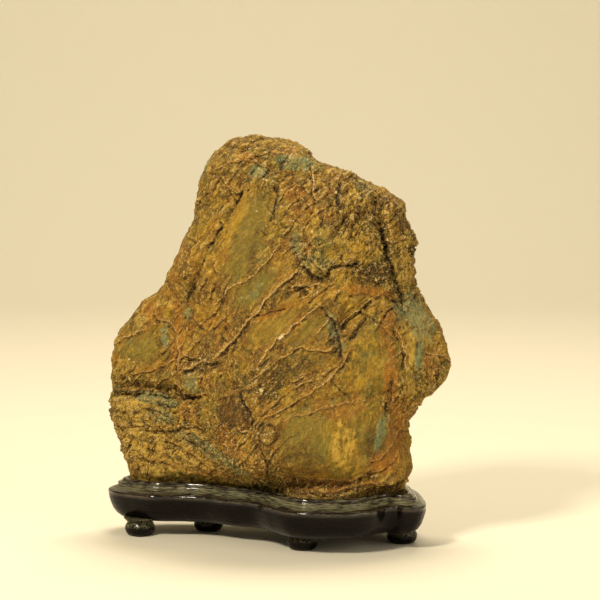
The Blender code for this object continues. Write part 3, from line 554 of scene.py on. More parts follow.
def squeezed(points, direction, factor):
    """The points with their run along a direction made shorter, so that noise on them is drawn out along it."""
    along = points @ direction
    return points - np.outer(along * (1 - 1 / factor), direction)


def ledges(points, across, spacing, seed):
    """Broken plates that rise slowly across their planes and drop at once, 0 to 1, each plate of its own strength."""
    waver = 0.9 * noise(points, 3.6 * spacing, seed)
    run = points @ across / spacing + waver + 0.3 * noise(points, 0.9 * spacing, seed + 1)
    level = np.floor(run)
    phase = run - level
    strength = lot(np.stack([level, level * 3, level * 7], 1), seed)
    return np.where(phase < 0.86, phase / 0.86, (1 - phase) / 0.14) * (0.3 + 0.7 * strength)


def seen_from(side, points, normals):
    """How far each point shows from a side, 0 to 1, and its place across and up as that side shows it."""
    facing = smooth_step(0.02, 0.4, normals @ np.array(side))
    across = points[:, 0] if side[0] == 0.0 else points[:, 1]
    return facing, np.stack([across, points[:, 2]], 1)


def patch_weights(table, points, normals, wobble):
    """The strongest patch of each list in the table at each point; wobble makes their edges ragged."""
    views = {side: seen_from(side, points, normals) for side in SIDES}
    weights = {}
    for name, sides in table.items():
        total = np.zeros(len(points))
        for side, patches in sides.items():
            facing, place = views[side]
            for across, up, wide, high, degrees, strength in patches:
                turn = math.radians(degrees)
                offset = place - (across, up)
                along = (offset[:, 0] * math.cos(turn) + offset[:, 1] * math.sin(turn)) / wide
                over = (offset[:, 1] * math.cos(turn) - offset[:, 0] * math.sin(turn)) / high
                reach = np.hypot(along, over) + wobble * min(1.0, 5.0 / min(wide, high) + 0.3)
                total = np.maximum(total, strength * facing * smooth_step(1.5, 0.5, reach))
        weights[name] = total
    return weights


def route_offsets(place, route):
    """Signed distance of each point to a route, positive on its left, and the share of the way along it."""
    legs = np.diff(route, axis=0)
    lengths = np.linalg.norm(legs, axis=1)
    starts = np.concatenate([[0.0], np.cumsum(lengths)])
    nearest = np.full(len(place), 1e6)
    offset = np.full(len(place), 1e6)
    share = np.zeros(len(place))
    for knot, leg, length, start in zip(route, legs, lengths, starts):
        gap = place - knot
        along = np.clip(gap @ leg / length**2, 0.0, 1.0)
        across = gap - along[:, None] * leg
        distance = np.hypot(across[:, 0], across[:, 1])
        closer = distance < nearest
        nearest = np.where(closer, distance, nearest)
        offset = np.where(closer, np.sign(leg[0] * gap[:, 1] - leg[1] * gap[:, 0]) * distance, offset)
        share = np.where(closer, (start + along * length) / starts[-1], share)
    return offset, share


def wandered(place):
    """Places in a view, shifted a little so that straight routes wander as natural lines do."""
    flat = np.column_stack([place, np.zeros(len(place))])
    shift_across = 0.9 * noise(flat, 6.5, 301) + 0.55 * noise(flat, 2.6, 302) + 0.22 * noise(flat, 1.2, 305)
    shift_up = 0.9 * noise(flat, 6.5, 303) + 0.55 * noise(flat, 2.6, 304) + 0.22 * noise(flat, 1.2, 306)
    return place + np.stack([shift_across, shift_up], 1)


def rows_of(data, name="vector"):
    """A mesh's list of points, normals or stored vectors as rows of three numbers."""
    values = np.empty(len(data) * 3, np.float32)
    data.foreach_get(name, values)
    return values.reshape(-1, 3)


def points_and_normals(mesh):
    """The mesh's points in millimetres and its unit normals."""
    return rows_of(mesh.vertices, "co") / MM, rows_of(mesh.vertex_normals)


def set_points(mesh, points):
    """Moves the mesh's points to these places in millimetres."""
    mesh.vertices.foreach_set("co", (points * MM).astype(np.float32).ravel())
    mesh.update()


def store(mesh, name, values, kind="FLOAT"):
    """Keeps one value for each point of the mesh, for the materials to read."""
    attribute = mesh.attributes.new(name, kind, "POINT")
    attribute.data.foreach_set("value" if kind == "FLOAT" else "vector", np.asarray(values, np.float32).ravel())


def new_object(name, data):
    """An object at the origin that shows a mesh, light or camera; an older one of its name makes room for it."""
    if name in bpy.data.objects:
        bpy.data.objects.remove(bpy.data.objects[name])
    made = bpy.data.objects.new(name, data)
    bpy.context.scene.collection.objects.link(made)
    return made


def baked(worked):
    """The object's mesh with its modifiers applied; the modifiers are then removed."""
    depsgraph = bpy.context.evaluated_depsgraph_get()
    mesh = bpy.data.meshes.new_from_object(
        worked.evaluated_get(depsgraph), preserve_all_data_layers=True, depsgraph=depsgraph
    )
    worked.modifiers.clear()
    return mesh


def add_node(tree, kind, inputs=None, **settings):
    """One node: its settings by name, its sockets by value or by the output that feeds them."""
    node = tree.nodes.new(kind)
    for name, value in settings.items():
        setattr(node, name, value)
    for key, value in (inputs or {}).items():
        if isinstance(value, bpy.types.NodeSocket):
            tree.links.new(value, node.inputs[key])
        else:
            node.inputs[key].default_value = value
    return node


def per_mm(size):
    """A texture's scale, on Object coordinates in metres, for features of that many millimetres."""
    return 1.0 / (size * MM)


# ---------------------------------------------------------------------------- materials

# A noise pattern: size of its features in millimetres, detail, roughness, warp, and how far its run is turned
# from level, in degrees, and how many times longer than wide it is drawn.
Pattern = namedtuple("Pattern", "size detail rough warp turn drawn", defaults=(0.0, 0.0, 1.0))

# Angular pieces between fine cracks: size in millimetres, and how they are turned and drawn out. As a field it
# is how far inside its piece a place lies, 0 on the crack to about 0.4.
Shatter = namedtuple("Shatter", "size turn drawn")
# How far the cracks swing off straight, against the size of the pieces.
BENDING = 0.9

# Where a colour shows: not before the field reaches `start`, fully from `end` on.
Mask = namedtuple("Mask", "field start end floor ceiling", defaults=(0.0, 1.0))

# How a surface is coloured. Its place is the mesh's own coordinate that patterns lie on, or none for Object
# coordinates. Values come from the mesh; each blend is a start and terms, a term being a weight and the fields
# it is multiplied by; each layer is a colour and its masks.
Recipe = namedtuple("Recipe", "place values patterns shatters blends ground layers")

# Lines drawn on the rock; the reach of each is the square of how far a place lies from it.
DRAWN_LINES = ("cleavage", "cross", "lip", "seam", "cut")

ROCK = Recipe(
    place=None,
    values=("rough", "rising", "upright", "level", "relief", "edge", "chip", "speck", "cleavage_offset",
            "cleavage_shown", "cross_offset", "cross_shown", "seam_offset", "seam_shown", "seam_tone", "seam_thin",
            *TINTS),
    patterns={
        "broad": Pattern(34.0, 4.0, 0.6, 0.6),
        "blotch": Pattern(9.0, 5.0, 0.65, 0.8),
        "mottle": Pattern(3.4, 4.0, 0.7, 0.6),
        "hue": Pattern(2.8, 4.0, 0.7, 0.8, 47.0, 1.6),
        "bloom": Pattern(5.0, 5.0, 0.72, 0.6, 47.0, 1.4),
        # single grains are a quarter of a millimetre; drawn at one so that they show
        "grit": Pattern(1.0, 3.0, 0.75),
        "spark": Pattern(0.8, 1.0, 0.5),
        "rising streak": Pattern(1.9, 4.0, 0.6, 0.5, 47.0, 4.0),
        "upright streak": Pattern(1.7, 4.0, 0.6, 0.5, 84.0, 4.0),
        "level streak": Pattern(1.9, 4.0, 0.6, 0.5, -11.0, 4.0),
    },
    shatters={"crazing": Shatter(6.0, 47.0, 1.7), "splinters": Shatter(3.0, 47.0, 2.2)},
    blends={
        "streak": (0.0, (1.0, "rising streak", "rising"), (1.0, "upright streak", "upright"),
                   (1.0, "level streak", "level")),
        "ragged": (-1.95, (1.1, "blotch"), (1.6, "mottle"), (1.2, "streak")),
        **{f"{name} patch": (0.0, (1.0, name), (1.0, "ragged")) for name in TINTS},
        "gloom": (0.0, (1.0, "hue"), (1.0, "blotch")),
        "wander": (-1.6, (1.4, "mottle"), (1.8, "grit")),
        "cleavage line": (0.0, (1.0, "cleavage_offset"), (1.0, "wander")),
        "cross line": (0.0, (1.0, "cross_offset"), (1.0, "wander")),
        "lip line": (-0.75, (1.0, "cleavage line")),
        "seam line": (0.0, (1.0, "seam_offset"), (1.5, "wander", "seam_thin")),
        "cut line": (0.0, (1.0, "seam line"), (-1.5, "seam_tone")),
        **{f"{name} reach": (0.0, (1.0, f"{name} line", f"{name} line")) for name in DRAWN_LINES},
        "seam stain": (0.0, (1.0, "seam reach"), (-6.0, "ragged")),
        "ragged speck": (0.0, (1.0, "speck"), (0.5, "wander")),
        "height": (0.0, (0.4, "streak"), (0.5, "streak", "rough"), (0.15, "grit"), (0.35, "grit", "rough"),
                   (0.5, "mottle", "rough"), (0.2, "crazing"), (1.1, "crazing", "rough"), (0.25, "splinters"),
                   (0.6, "splinters", "rough")),
    },
    ground="olive_brown",
    layers=[
        ("brown", ("broad", 0.44, 0.56)),
        # freckles of each kind of weathering, fewer on the slabs
        ("ochre", ("hue", 0.52, 0.59, 0.0, 0.6), ("rough", 0.05, 0.35, 0.45, 1.0)),
        ("rust", ("bloom", 0.53, 0.6, 0.0, 0.5), ("rough", 0.05, 0.35, 0.5, 1.0)),
        ("verdigris", ("bloom", 0.44, 0.38, 0.0, 0.35)),
        ("umber", ("gloom", 0.95, 0.84, 0.0, 0.6), ("rough", 0.05, 0.35, 0.5, 1.0)),
        ("umber", ("chip", 0.3, 0.1, 0.0, 0.5), ("rough", 0.1, 0.5)),
        ("olive", ("chip", 0.45, 0.55, 0.0, 0.5), ("chip", 0.7, 0.6), ("rough", 0.1, 0.5)),
        ("ochre", ("chip", 0.72, 0.95, 0.0, 0.7), ("rough", 0.1, 0.5)),
        # broad patches with ragged edges
        ("olive", ("olive patch", 0.3, 0.9, 0.0, 0.65)),
        ("ochre", ("ochre patch", 0.3, 0.9, 0.0, 0.6)),
        ("umber", ("umber patch", 0.3, 0.9, 0.0, 0.85)),
        ("straw", ("straw patch", 0.3, 0.9, 0.0, 0.85)),
        ("rust", ("rust patch", 0.3, 0.9, 0.0, 0.65)),
        ("verdigris", ("verdigris patch", 0.3, 0.9, 0.0, 0.85)),
        # painted shade in the hollows and painted highlight on the crests, broadly and then at the edges of chips
        ("hollow", ("relief", -0.5, -2.2, 0.0, 0.9), ("straw patch", 1.0, 0.3, 0.35, 1.0)),
        ("crest", ("relief", 0.4, 1.8, 0.0, 0.7), ("grit", 0.42, 0.54, 0.3, 1.0)),
        ("hollow", ("edge", -0.9, -2.6, 0.0, 0.8), ("straw patch", 1.0, 0.3, 0.5, 1.0)),
        ("cream", ("edge", 0.9, 2.4, 0.0, 0.8), ("grit", 0.45, 0.55)),
        # strokes along the folds, and the cracks between splinters
        ("hollow", ("streak", 0.48, 0.42), ("rough", 0.0, 0.9, 0.15, 0.65)),
        ("straw", ("streak", 0.53, 0.6), ("hue", 0.49, 0.54), ("rough", 0.0, 0.9, 0.12, 0.8)),
        ("rust", ("streak", 0.53, 0.6), ("hue", 0.51, 0.46), ("rough", 0.0, 0.9, 0.15, 0.75)),
        ("hollow", ("crazing", 0.07, 0.02), ("rough", 0.15, 0.9, 0.0, 0.85), ("blotch", 0.46, 0.54)),
        ("hollow", ("splinters", 0.09, 0.03), ("rough", 0.0, 1.0, 0.15, 0.55), ("hue", 0.52, 0.46)),
        # fine seams: a dark hairline with a pale lip
        ("hollow", ("cleavage reach", 0.25, 0.02), ("cleavage_shown", 0.0, 1.0, 0.0, 0.75)),
        ("hollow", ("cross reach", 0.2, 0.02), ("cross_shown", 0.0, 1.0, 0.0, 0.6)),
        ("vein", ("lip reach", 0.2, 0.02), ("cleavage_shown", 0.0, 1.0, 0.0, 0.6), ("grit", 0.42, 0.54)),
        # seams: a dark line beside a paler ridge of vein filling; on a plain crack it is the dark of the crack, and on
        # a raised seam it lies below the ledge as painted shadow
        ("rust", ("seam stain", 12.0, 0.0), ("seam_shown", 0.0, 1.0, 0.0, 0.55), ("seam_tone", 0.05, 0.4)),
        ("crack", ("cut reach", 1.6, 0.3), ("seam_shown", 0.1, 0.7, 0.0, 0.95)),
        ("vein", ("seam reach", 1.0, 0.2), ("seam_shown", 0.1, 0.7, 0.0, 0.95), ("seam_tone", 0.3, 0.6),
         ("spark", 0.36, 0.5, 0.2, 1.0)),
        ("cream", ("seam reach", 0.7, 0.1), ("seam_shown", 0.2, 0.9, 0.0, 0.85), ("seam_tone", 0.45, 0.9),
         ("grit", 0.45, 0.54, 0.1, 1.0)),
        # single grains, with painted shade in small pits and painted glints on pale grains, then sparks and pale specks
        # painted bright as glints
        ("hollow", ("grit", 0.48, 0.42), ("rough", 0.0, 1.0, 0.12, 0.35)),
        ("crest", ("grit", 0.53, 0.59), ("rough", 0.0, 1.0, 0.12, 0.4)),
        ("cream", ("spark", 0.65, 0.72), ("rough", 0.15, 0.9, 0.0, 0.85)),
        ("cream", ("ragged speck", 0.0, 0.3, 0.0, 0.85)),
    ],
)

LACQUER = Recipe(
    place="run",
    values=("rubbed", "dusty"),
    patterns={
        "grain": Pattern(1.3, 4.0, 0.6, 0.3),
        "cloud": Pattern(16.0, 3.0, 0.6),
        "fleck": Pattern(0.9, 4.0, 0.7, 0.4),
    },
    shatters={},
    blends={
        "wear": (0.0, (1.0, "cloud"), (0.4, "rubbed")),
        "bloom": (0.0, (1.0, "fleck"), (0.25, "dusty")),
        "dullness": (0.0, (1.0, "fleck"), (0.2, "dusty")),
        "height": (0.0, (0.5, "grain"), (0.6, "fleck")),
    },
    ground="lacquer",
    layers=[
        ("lacquer_brown", ("grain", 0.42, 0.6)),
        ("bare_wood", ("wear", 0.66, 0.84, 0.0, 0.45), ("grain", 0.46, 0.6)),
        # pale dust, heaviest on the ledge and beads, which also stands for painted reflections on the glossy lacquer
        # there and a painted highlight on the tops of the feet
        ("dust", ("bloom", 0.6, 0.82, 0.0, 0.6), ("dusty", 0.1, 0.6)),
    ],
)


def start_material(name):
    """A new material and its empty node tree."""
    material = bpy.data.materials.new(name)
    material.use_nodes = True
    tree = material.node_tree
    tree.nodes.clear()
    return material, tree


def drawn_out(tree, place, degrees, times):
    """A coordinate turned from level and squeezed, so that a pattern on it is turned and drawn out."""
    turned = add_node(tree, "ShaderNodeVectorRotate", {"Vector": place, "Angle": math.radians(degrees)},
                      rotation_type="Y_AXIS")
    return add_node(tree, "ShaderNodeVectorMath", {0: turned.outputs[0], 1: (1 / times, 1.0, 1.0)},
                    operation="MULTIPLY").outputs[0]


def mask_range(fields, mask):
    """A mask's field and range, as a Map Range node takes them."""
    return {0: fields[mask.field], 1: mask.start, 2: mask.end, 3: mask.floor, 4: mask.ceiling}


def lay_fields(tree, recipe):
    """The recipe's values, patterns and blends as node outputs, by name."""
    node = partial(add_node, tree)
    if recipe.place:
        place = node("ShaderNodeAttribute", attribute_name=recipe.place).outputs["Vector"]
    else:
        place = node("ShaderNodeTexCoord").outputs["Object"]
    fields = {name: node("ShaderNodeAttribute", attribute_name=name).outputs["Fac"] for name in recipe.values}
    for name, pattern in recipe.patterns.items():
        fields[name] = node("ShaderNodeTexNoise", {
            "Vector": drawn_out(tree, place, pattern.turn, pattern.drawn), "Scale": per_mm(pattern.size),
            "Detail": pattern.detail, "Roughness": pattern.rough, "Distortion": pattern.warp}).outputs["Fac"]
    for name, shatter in recipe.shatters.items():
        bend = node("ShaderNodeTexNoise", {"Vector": place, "Scale": per_mm(shatter.size), "Detail": 2.0})
        swing = (shatter.size * MM * BENDING,) * 3
        bent = node("ShaderNodeVectorMath", {0: bend.outputs["Color"], 1: swing, 2: place}, operation="MULTIPLY_ADD")
        fields[name] = node("ShaderNodeTexVoronoi", {
            "Vector": drawn_out(tree, bent.outputs[0], shatter.turn, shatter.drawn), "Scale": per_mm(shatter.size)},
            feature="DISTANCE_TO_EDGE").outputs["Distance"]
    for name, (start, *terms) in recipe.blends.items():
        total = start
        for weight, *factors in terms:
            term = weight
            for factor in factors:
                term = node("ShaderNodeMath", {0: term, 1: fields[factor]}, operation="MULTIPLY").outputs[0]
            total = node("ShaderNodeMath", {0: total, 1: term}, operation="ADD").outputs[0]
        fields[name] = total
    return fields


def lay_colours(tree, recipe, fields, settings):
    """The recipe's colours laid over one another, each where all of its masks let it show."""
    node = partial(add_node, tree)
    colour = (*getattr(settings, recipe.ground), 1.0)
    for tint, *masks in recipe.layers:
        share = 1.0
        for mask in masks:
            shown = node("ShaderNodeMapRange", mask_range(fields, Mask(*mask))).outputs[0]
            share = node("ShaderNodeMath", {0: share, 1: shown}, operation="MULTIPLY").outputs[0]
        colour = node("ShaderNodeMix", {"Factor": share, 6: colour, 7: (*getattr(settings, tint), 1.0)},
                      data_type="RGBA").outputs[2]
    return colour


def end_material(tree, inputs, height=None, depth=0.0):
    """The material's surface, with `height` drawn on it as bumps about `depth` metres deep."""
    if height:
        bump = add_node(tree, "ShaderNodeBump", {"Height": height, "Strength": 1.0, "Distance": depth})
        inputs = {**inputs, "Normal": bump.outputs["Normal"]}
    surface = add_node(tree, "ShaderNodeBsdfPrincipled", inputs)
    add_node(tree, "ShaderNodeOutputMaterial", {"Surface": surface.outputs[0]})


def rock_material(settings):
    """Weathered iron-rich greywacke: dull olive and brown, rust in its seams, verdigris in patches, gritty and dry."""
    material, tree = start_material("weathered_greywacke")
    fields = lay_fields(tree, ROCK)
    roughness = Mask("mottle", 0.35, 0.65, 0.9, 0.6)
    end_material(tree, {
        "Base Color": lay_colours(tree, ROCK, fields, settings),
        "Roughness": add_node(tree, "ShaderNodeMapRange", mask_range(fields, roughness)).outputs[0],
        "Specular IOR Level": 0.25,
        "IOR": 1.54,
    }, fields["height"], settings.grit_depth)
    return material


def lacquer_material(settings):
    """Rosewood under thin black lacquer: near black, glossy, redder wood showing where it is rubbed through."""
    material, tree = start_material("black_lacquered_rosewood")
    fields = lay_fields(tree, LACQUER)
    roughness = Mask("dullness", 0.35, 0.95, 0.2, 0.6)
    # hands and cloths keep the mouldings brighter than the apron
    coat = Mask("rubbed", APRON_RUBBED, 0.8, 0.2, 1.0)
    end_material(tree, {
        "Base Color": lay_colours(tree, LACQUER, fields, settings),
        "Roughness": add_node(tree, "ShaderNodeMapRange", mask_range(fields, roughness)).outputs[0],
        "Specular IOR Level": 0.06,
        "Coat Weight": add_node(tree, "ShaderNodeMapRange", mask_range(fields, coat)).outputs[0],
        "Coat Roughness": 0.07,
    }, fields["height"], GRAIN_DEPTH)
    return material


def paper_material(settings):
    """Matt studio paper: one pale, even colour."""
    material, tree = start_material("matt_studio_paper")
    end_material(tree, {"Base Color": (*settings.paper, 1.0), "Roughness": 0.9, "Specular IOR Level": 0.15})
    return material


# ---------------------------------------------------------------------------- stone


def stone_base(settings):
    """A fine, evenly meshed copy of the stone's solid with its facets eased away."""
    mesh = frame["nodes"]["stone"].data.copy()
    mesh.materials.clear()
    bm = bmesh.new()
    bm.from_mesh(mesh)
    bmesh.ops.remove_doubles(bm, verts=bm.verts, dist=WELD)
    bm.to_mesh(mesh)
    bm.free()
    base = new_object("stone_surface", mesh)
    remesh = base.modifiers.new("even mesh", "REMESH")
    remesh.mode = "VOXEL"
    remesh.voxel_size = settings.voxel * 1.0
    ease = base.modifiers.new("ease facets", "SMOOTH")
    ease.factor = 0.5
    ease.iterations = settings.easing // 1
    base.data = baked(base)
    return base


def standing_out(mesh, normals, passes):
    """How far each vertex stands above the average of its surroundings, in units of the usual amount."""
    points, _ = points_and_normals(mesh)
    ends = np.empty(2 * len(mesh.edges), np.int64)
    mesh.edges.foreach_get("vertices", ends)
    first, second = ends.reshape(-1, 2).T
    neighbours = np.bincount(ends, minlength=len(points))[:, None]
    eased = points.copy()
    for _ in range(passes):
        total = [
            np.bincount(first, eased[second, axis], len(points)) + np.bincount(second, eased[first, axis], len(points))
            for axis in range(3)
        ]
        eased = np.stack(total, 1) / neighbours
    height = np.einsum("ij,ij->i", points - eased, normals)
    return height / height.std()


def seam_fields(points, normals):
    """The relief of all the seams and, from the nearest one, what the material draws it with."""
    relief = np.zeros(len(points))
    nearest = np.full(len(points), SEAM_REACH)
    fields = {
        "seam_offset": np.full(len(points), SEAM_REACH),
        "seam_shown": np.zeros(len(points)),
        "seam_tone": np.full(len(points), 0.5),
        "seam_thin": np.full(len(points), 1.6),
    }
    broken = 0.8 + 0.6 * noise(points, 5.0, 311) + 0.5 * noise(points, 2.2, 312)
    for side, seams in SEAMS.items():
        facing, place = seen_from(side, points, normals)
        place = wandered(place)
        for seam in seams:
            route = np.array(seam.route, float)
            margin = STEP_REACH + 1.0
            inside = np.all((place > route.min(0) - margin) & (place < route.max(0) + margin), axis=1)
            near = np.flatnonzero(inside & (facing > 0.0))
            if not len(near):
                continue
            offset, share = route_offsets(place[near], route)
            ends = smooth_step(0.0, 0.1, share + 0.02) * smooth_step(1.0, 0.88, share - 0.02)
            shown = facing[near] * ends * np.clip(broken[near], 0.15, 1.2)
            # a seam with a rise is the broken edge of the plate above it: raised along its edge, then a drop
            # with a groove at its foot; a plain crack has its groove along its own line
            below = offset if route[-1, 0] < route[0, 0] else -offset
            ridge = 0.3 * seam.rise * np.exp(-((below / seam.width) ** 2))
            drop = 0.8 * seam.rise * smooth_step(0.1, 0.9, below / seam.width)
            drop = drop * smooth_step(STEP_REACH, 0.0, below)
            foot = (below - 1.5 * seam.width * (seam.rise > 0.0)) / (1.1 * seam.width)
            relief[near] += shown * (ridge - drop - seam.cut * np.exp(-(foot**2)))
            distance = np.abs(offset)
            closer = distance < nearest[near]
            chosen = near[closer]
            nearest[chosen] = distance[closer]
            fields["seam_offset"][chosen] = below[closer] / (LINE_SHARE * seam.width)
            fields["seam_shown"][chosen] = (shown * smooth_step(SEAM_REACH, SEAM_REACH * 0.6, distance))[closer]
            fields["seam_tone"][chosen] = seam.tone
            fields["seam_thin"][chosen] = 1 / (LINE_SHARE * seam.width)
    return relief, fields


def texture_weights(points, normals):
    """How far each point is slab, crust, crumble, knobs and wrinkle, 0 to 1."""
    wobble = 0.3 * noise(points, 8.0, 321) + 0.16 * noise(points, 3.2, 322)
    return patch_weights(TEXTURES, points, normals, wobble)


def flow_weights(points, normals):
    """How far the small folds at each point run upright, level and, everywhere else, rising to the right."""
    weights = patch_weights(FLOWS, points, normals, 0.35 * noise(points, 9.0, 391))
    weights["rising"] = np.clip(1 - weights["upright"] - weights["level"], 0.0, 1.0)
    return weights


def boulders_at(points):
    """The big rounded lumps: how far the nearest and the next are, the nearest's random share, and its lean."""
    return cells(squeezed(points, UPRIGHT, 1.5), 11.0, 368)


def ring_relief(points, normals):
    """Low domes, each with a groove round it."""
    facing, place = seen_from(FRONT, points, normals)
    relief = np.zeros(len(points))
    for across, up, radius, dome, groove in RINGS:
        reach = np.hypot(place[:, 0] - across, place[:, 1] - up)
        bowl = dome * np.sqrt(np.clip(1 - (reach / radius) ** 2, 0.0, 1.0))
        relief += facing * (bowl - groove * np.exp(-(((reach - radius) / (0.22 * radius + 0.15)) ** 2)))
    return relief


def cut_through(normals, across):
    """1 where the surface cuts through layers lying `across`, 0 where it runs along one of them."""
    return smooth_step(0.97, 0.85, np.abs(normals @ (across / np.linalg.norm(across))))


def sheets(points, normals, across, spacing, seed):
    """A family of parallel sheets through the rock: signed distance to the nearest, and how far it shows."""
    waver = 0.8 * noise(points, 4.0 * spacing, seed)
    run = points @ across / spacing + waver + 0.14 * noise(points, 0.6 * spacing, seed + 1)
    level = np.round(run)
    offset = (run - level) * spacing
    kept = lot(np.stack([level, level * 5, level * 11], 1), seed)
    shown = smooth_step(0.0, 0.35, noise(points, 13.0, seed + 2) + 0.5 * noise(points, 4.0, seed + 3) + kept - 0.55)
    shown = shown * cut_through(normals, across)
    return offset, shown * smooth_step(0.42 * spacing, 0.25 * spacing, np.abs(offset))


def folded(points, flows, size, seed):
    """Drawn-out folds about -1 to 1, running the way the stone's small folds run at each place."""
    total = np.zeros(len(points))
    for name, direction, further in (("rising", RISING, 0), ("upright", UPRIGHT, 40), ("level", LEVEL, 80)):
        total += flows[name] * ridges(squeezed(points, direction, 3.6), size, seed + further, octaves=2)
    return total * 0.75


def plates_and_layers(points):
    """The stepped forms of the rock, each about -0.4 to 0.6: split plates, and the sagging layers of the crust."""
    return {
        "plates": ledges(squeezed(points, GRAIN, 1.5), CLEAVAGE, 7.5, 341) - 0.4,
        "small plates": ledges(points, CLEAVAGE, 3.1, 344) - 0.4,
        "cross plates": ledges(points, CROSS_JOINTS, 8.5, 347) - 0.4,
        "layers": ledges(points, CRUST_LAYERS, 5.2, 371) - 0.4,
    }


def crisp_forms(points, flows, weights):
    """The small forms of the rock by name, for CRISP to mix; pits and beads are worked out only where they show."""
    first, second, _, _ = cells(squeezed(points, CLEAVAGE, 0.6), 6.5, 361)
    gap, next_gap, _, _ = cells(squeezed(points, GRAIN, 1.5), 7.0, 367)
    lump, next_lump, _, _ = boulders_at(points)
    forms = {
        "faces": chipped(points, 17.0, 362),
        "chips": chipped(points, 7.5, 363),
        "small chips": chipped(points, 3.6, 364),
        "flakes": chipped(points, 2.0, 365),
        "broad folds": folded(points, flows, 4.2, 351),
        "fine folds": folded(points, flows, 2.0, 352),
        "hackle": ridges(points, 3.8, 353) + 0.7 * ridges(points, 1.9, 354) + 0.45 * ridges(points, 1.2, 355),
        "joints": smooth_step(0.9, 0.0, second - first),
        "domes": smooth_step(0.0, 2.6, next_gap - gap) - 0.7,
        "boulders": smooth_step(0.0, 2.4, next_lump - lump) * (1.3 - 0.3 * smooth_step(0.0, 7.0, lump)) - 0.8,
        "pits": np.zeros(len(points)),
        "beads": np.zeros(len(points)),
    }
    crusted = np.flatnonzero(weights["crust"] > 0.02)
    pit, _, share, _ = cells(points[crusted], 2.8, 372)
    forms["pits"][crusted] = -1.0 * smooth_step(1.1, 0.3, pit) * (share > 0.35)
    knobbly = np.flatnonzero(weights["knobs"] > 0.02)
    bead, _, share, _ = cells(points[knobbly], 3.4, 381)
    forms["beads"][knobbly] = 1.7 * np.sqrt(np.clip(1 - (bead / 2.2) ** 2, 0.0, 1.0)) * (0.5 + 0.6 * share) - 0.8
    return forms


def stone_relief(points, normals, settings):
    """The height of the weathered surface over the eased solid, in millimetres."""
    weights = texture_weights(points, normals)
    slab, crust = weights["slab"], weights["crust"]
    weights["plain"] = (1 - slab) * (1 - 0.5 * crust)
    weights["wrinkle"] = weights["wrinkle"] * (1 - slab)

    rolling = 0.9 * noise(points, 17.0, 331) + 0.6 * noise(points, 9.0, 332)
    steps = plates_and_layers(points)
    stepped = cut_through(normals, CLEAVAGE) * (0.6 * steps["plates"] + 0.4 * steps["small plates"])
    rise = weights["plain"] * (stepped + 0.3 * steps["cross plates"]) + slab * 0.12 * steps["plates"]
    rise += crust * 0.9 * steps["layers"]

    forms = crisp_forms(points, flow_weights(points, normals), weights)
    crisp = sum(weights[name] * sum(strength * forms[form] for form, strength in mix.items())
                for name, mix in CRISP.items())
    seams, _ = seam_fields(points, normals)
    crisp += seams * settings.seam_depth + ring_relief(points, normals)
    for across, spacing, seed in SHEETS:
        offset, shown = sheets(points, normals, across, spacing, seed)
        cut = np.exp(-((offset / 0.7) ** 2)) - 0.6 * np.exp(-(((offset - 1.2) / 0.8) ** 2))
        crisp -= 0.75 * shown * (1 - 0.85 * slab) * cut
    # nothing stands out where the stone sits in its recess
    seated = smooth_step(SEAT_LOW, SEAT_HIGH, points[:, 2])
    height = rolling * (1 - 0.45 * slab) + rise + crisp
    return np.where(height > 0.0, height * seated, height) * settings.relief


def speck_field(points, normals):
    """How far inside the nearest pale speck each point lies, negative outside, in millimetres."""
    outside = -4.0
    inside = np.full(len(points), outside)
    for side, specks in SPECKS.items():
        facing, place = seen_from(side, points, normals)
        for across, up, radius in specks:
            depth = radius - np.hypot(place[:, 0] - across, place[:, 1] - up)
            inside = np.maximum(inside, np.where(facing > 0.3, depth, outside))
    return inside


def tint_fields(points, normals):
    """Where each weathering colour lies: the patches in sight, and loose clouds of each on the other sides."""
    wobble = 0.3 * noise(points, 7.0, 401) + 0.22 * noise(points, 2.6, 402)
    fields = patch_weights(TINTS, points, normals, wobble)
    hidden = 1 - seen_from(FRONT, points, normals)[0]
    for number, name in enumerate(TINTS):
        cloud = noise(points, 24.0, 410 + number) + 0.5 * noise(points, 8.0, 420 + number)
        loose = hidden * smooth_step(0.25, 0.75, cloud) * (0.3 if name == "straw" else 0.75)
        fields[name] = np.maximum(fields[name], loose)
    return fields


def store_surface_values(mesh, points, normals):
    """Everything that the rock material and the grit read, besides the relief."""
    weights = texture_weights(points, normals)
    rough = sum((added * weights[name] for name, added in ROUGHER.items()), PLAIN_ROUGH)
    store(mesh, "rough", np.clip(rough, 0.0, 1.0))
    gritty = np.clip(weights["crust"] + 0.6 * weights["crumble"] * (1 - weights["slab"]), 0.0, 1.0)
    store(mesh, "gritty", gritty * smooth_step(SEAT_LOW + 2.0, SEAT_HIGH + 2.0, points[:, 2]))
    store(mesh, "chip", boulders_at(points)[2])
    store(mesh, "speck", speck_field(points, normals))
    for name, (across, spacing, seed) in zip(("cleavage", "cross"), SHEETS):
        offset, shown = sheets(points, normals, across, spacing, seed)
        store(mesh, f"{name}_offset", offset)
        store(mesh, f"{name}_shown", shown * (1 - 0.8 * weights["slab"]))
    _, seams = seam_fields(points, normals)
    for fields in (flow_weights(points, normals), tint_fields(points, normals), seams):
        for name, values in fields.items():
            store(mesh, name, values)


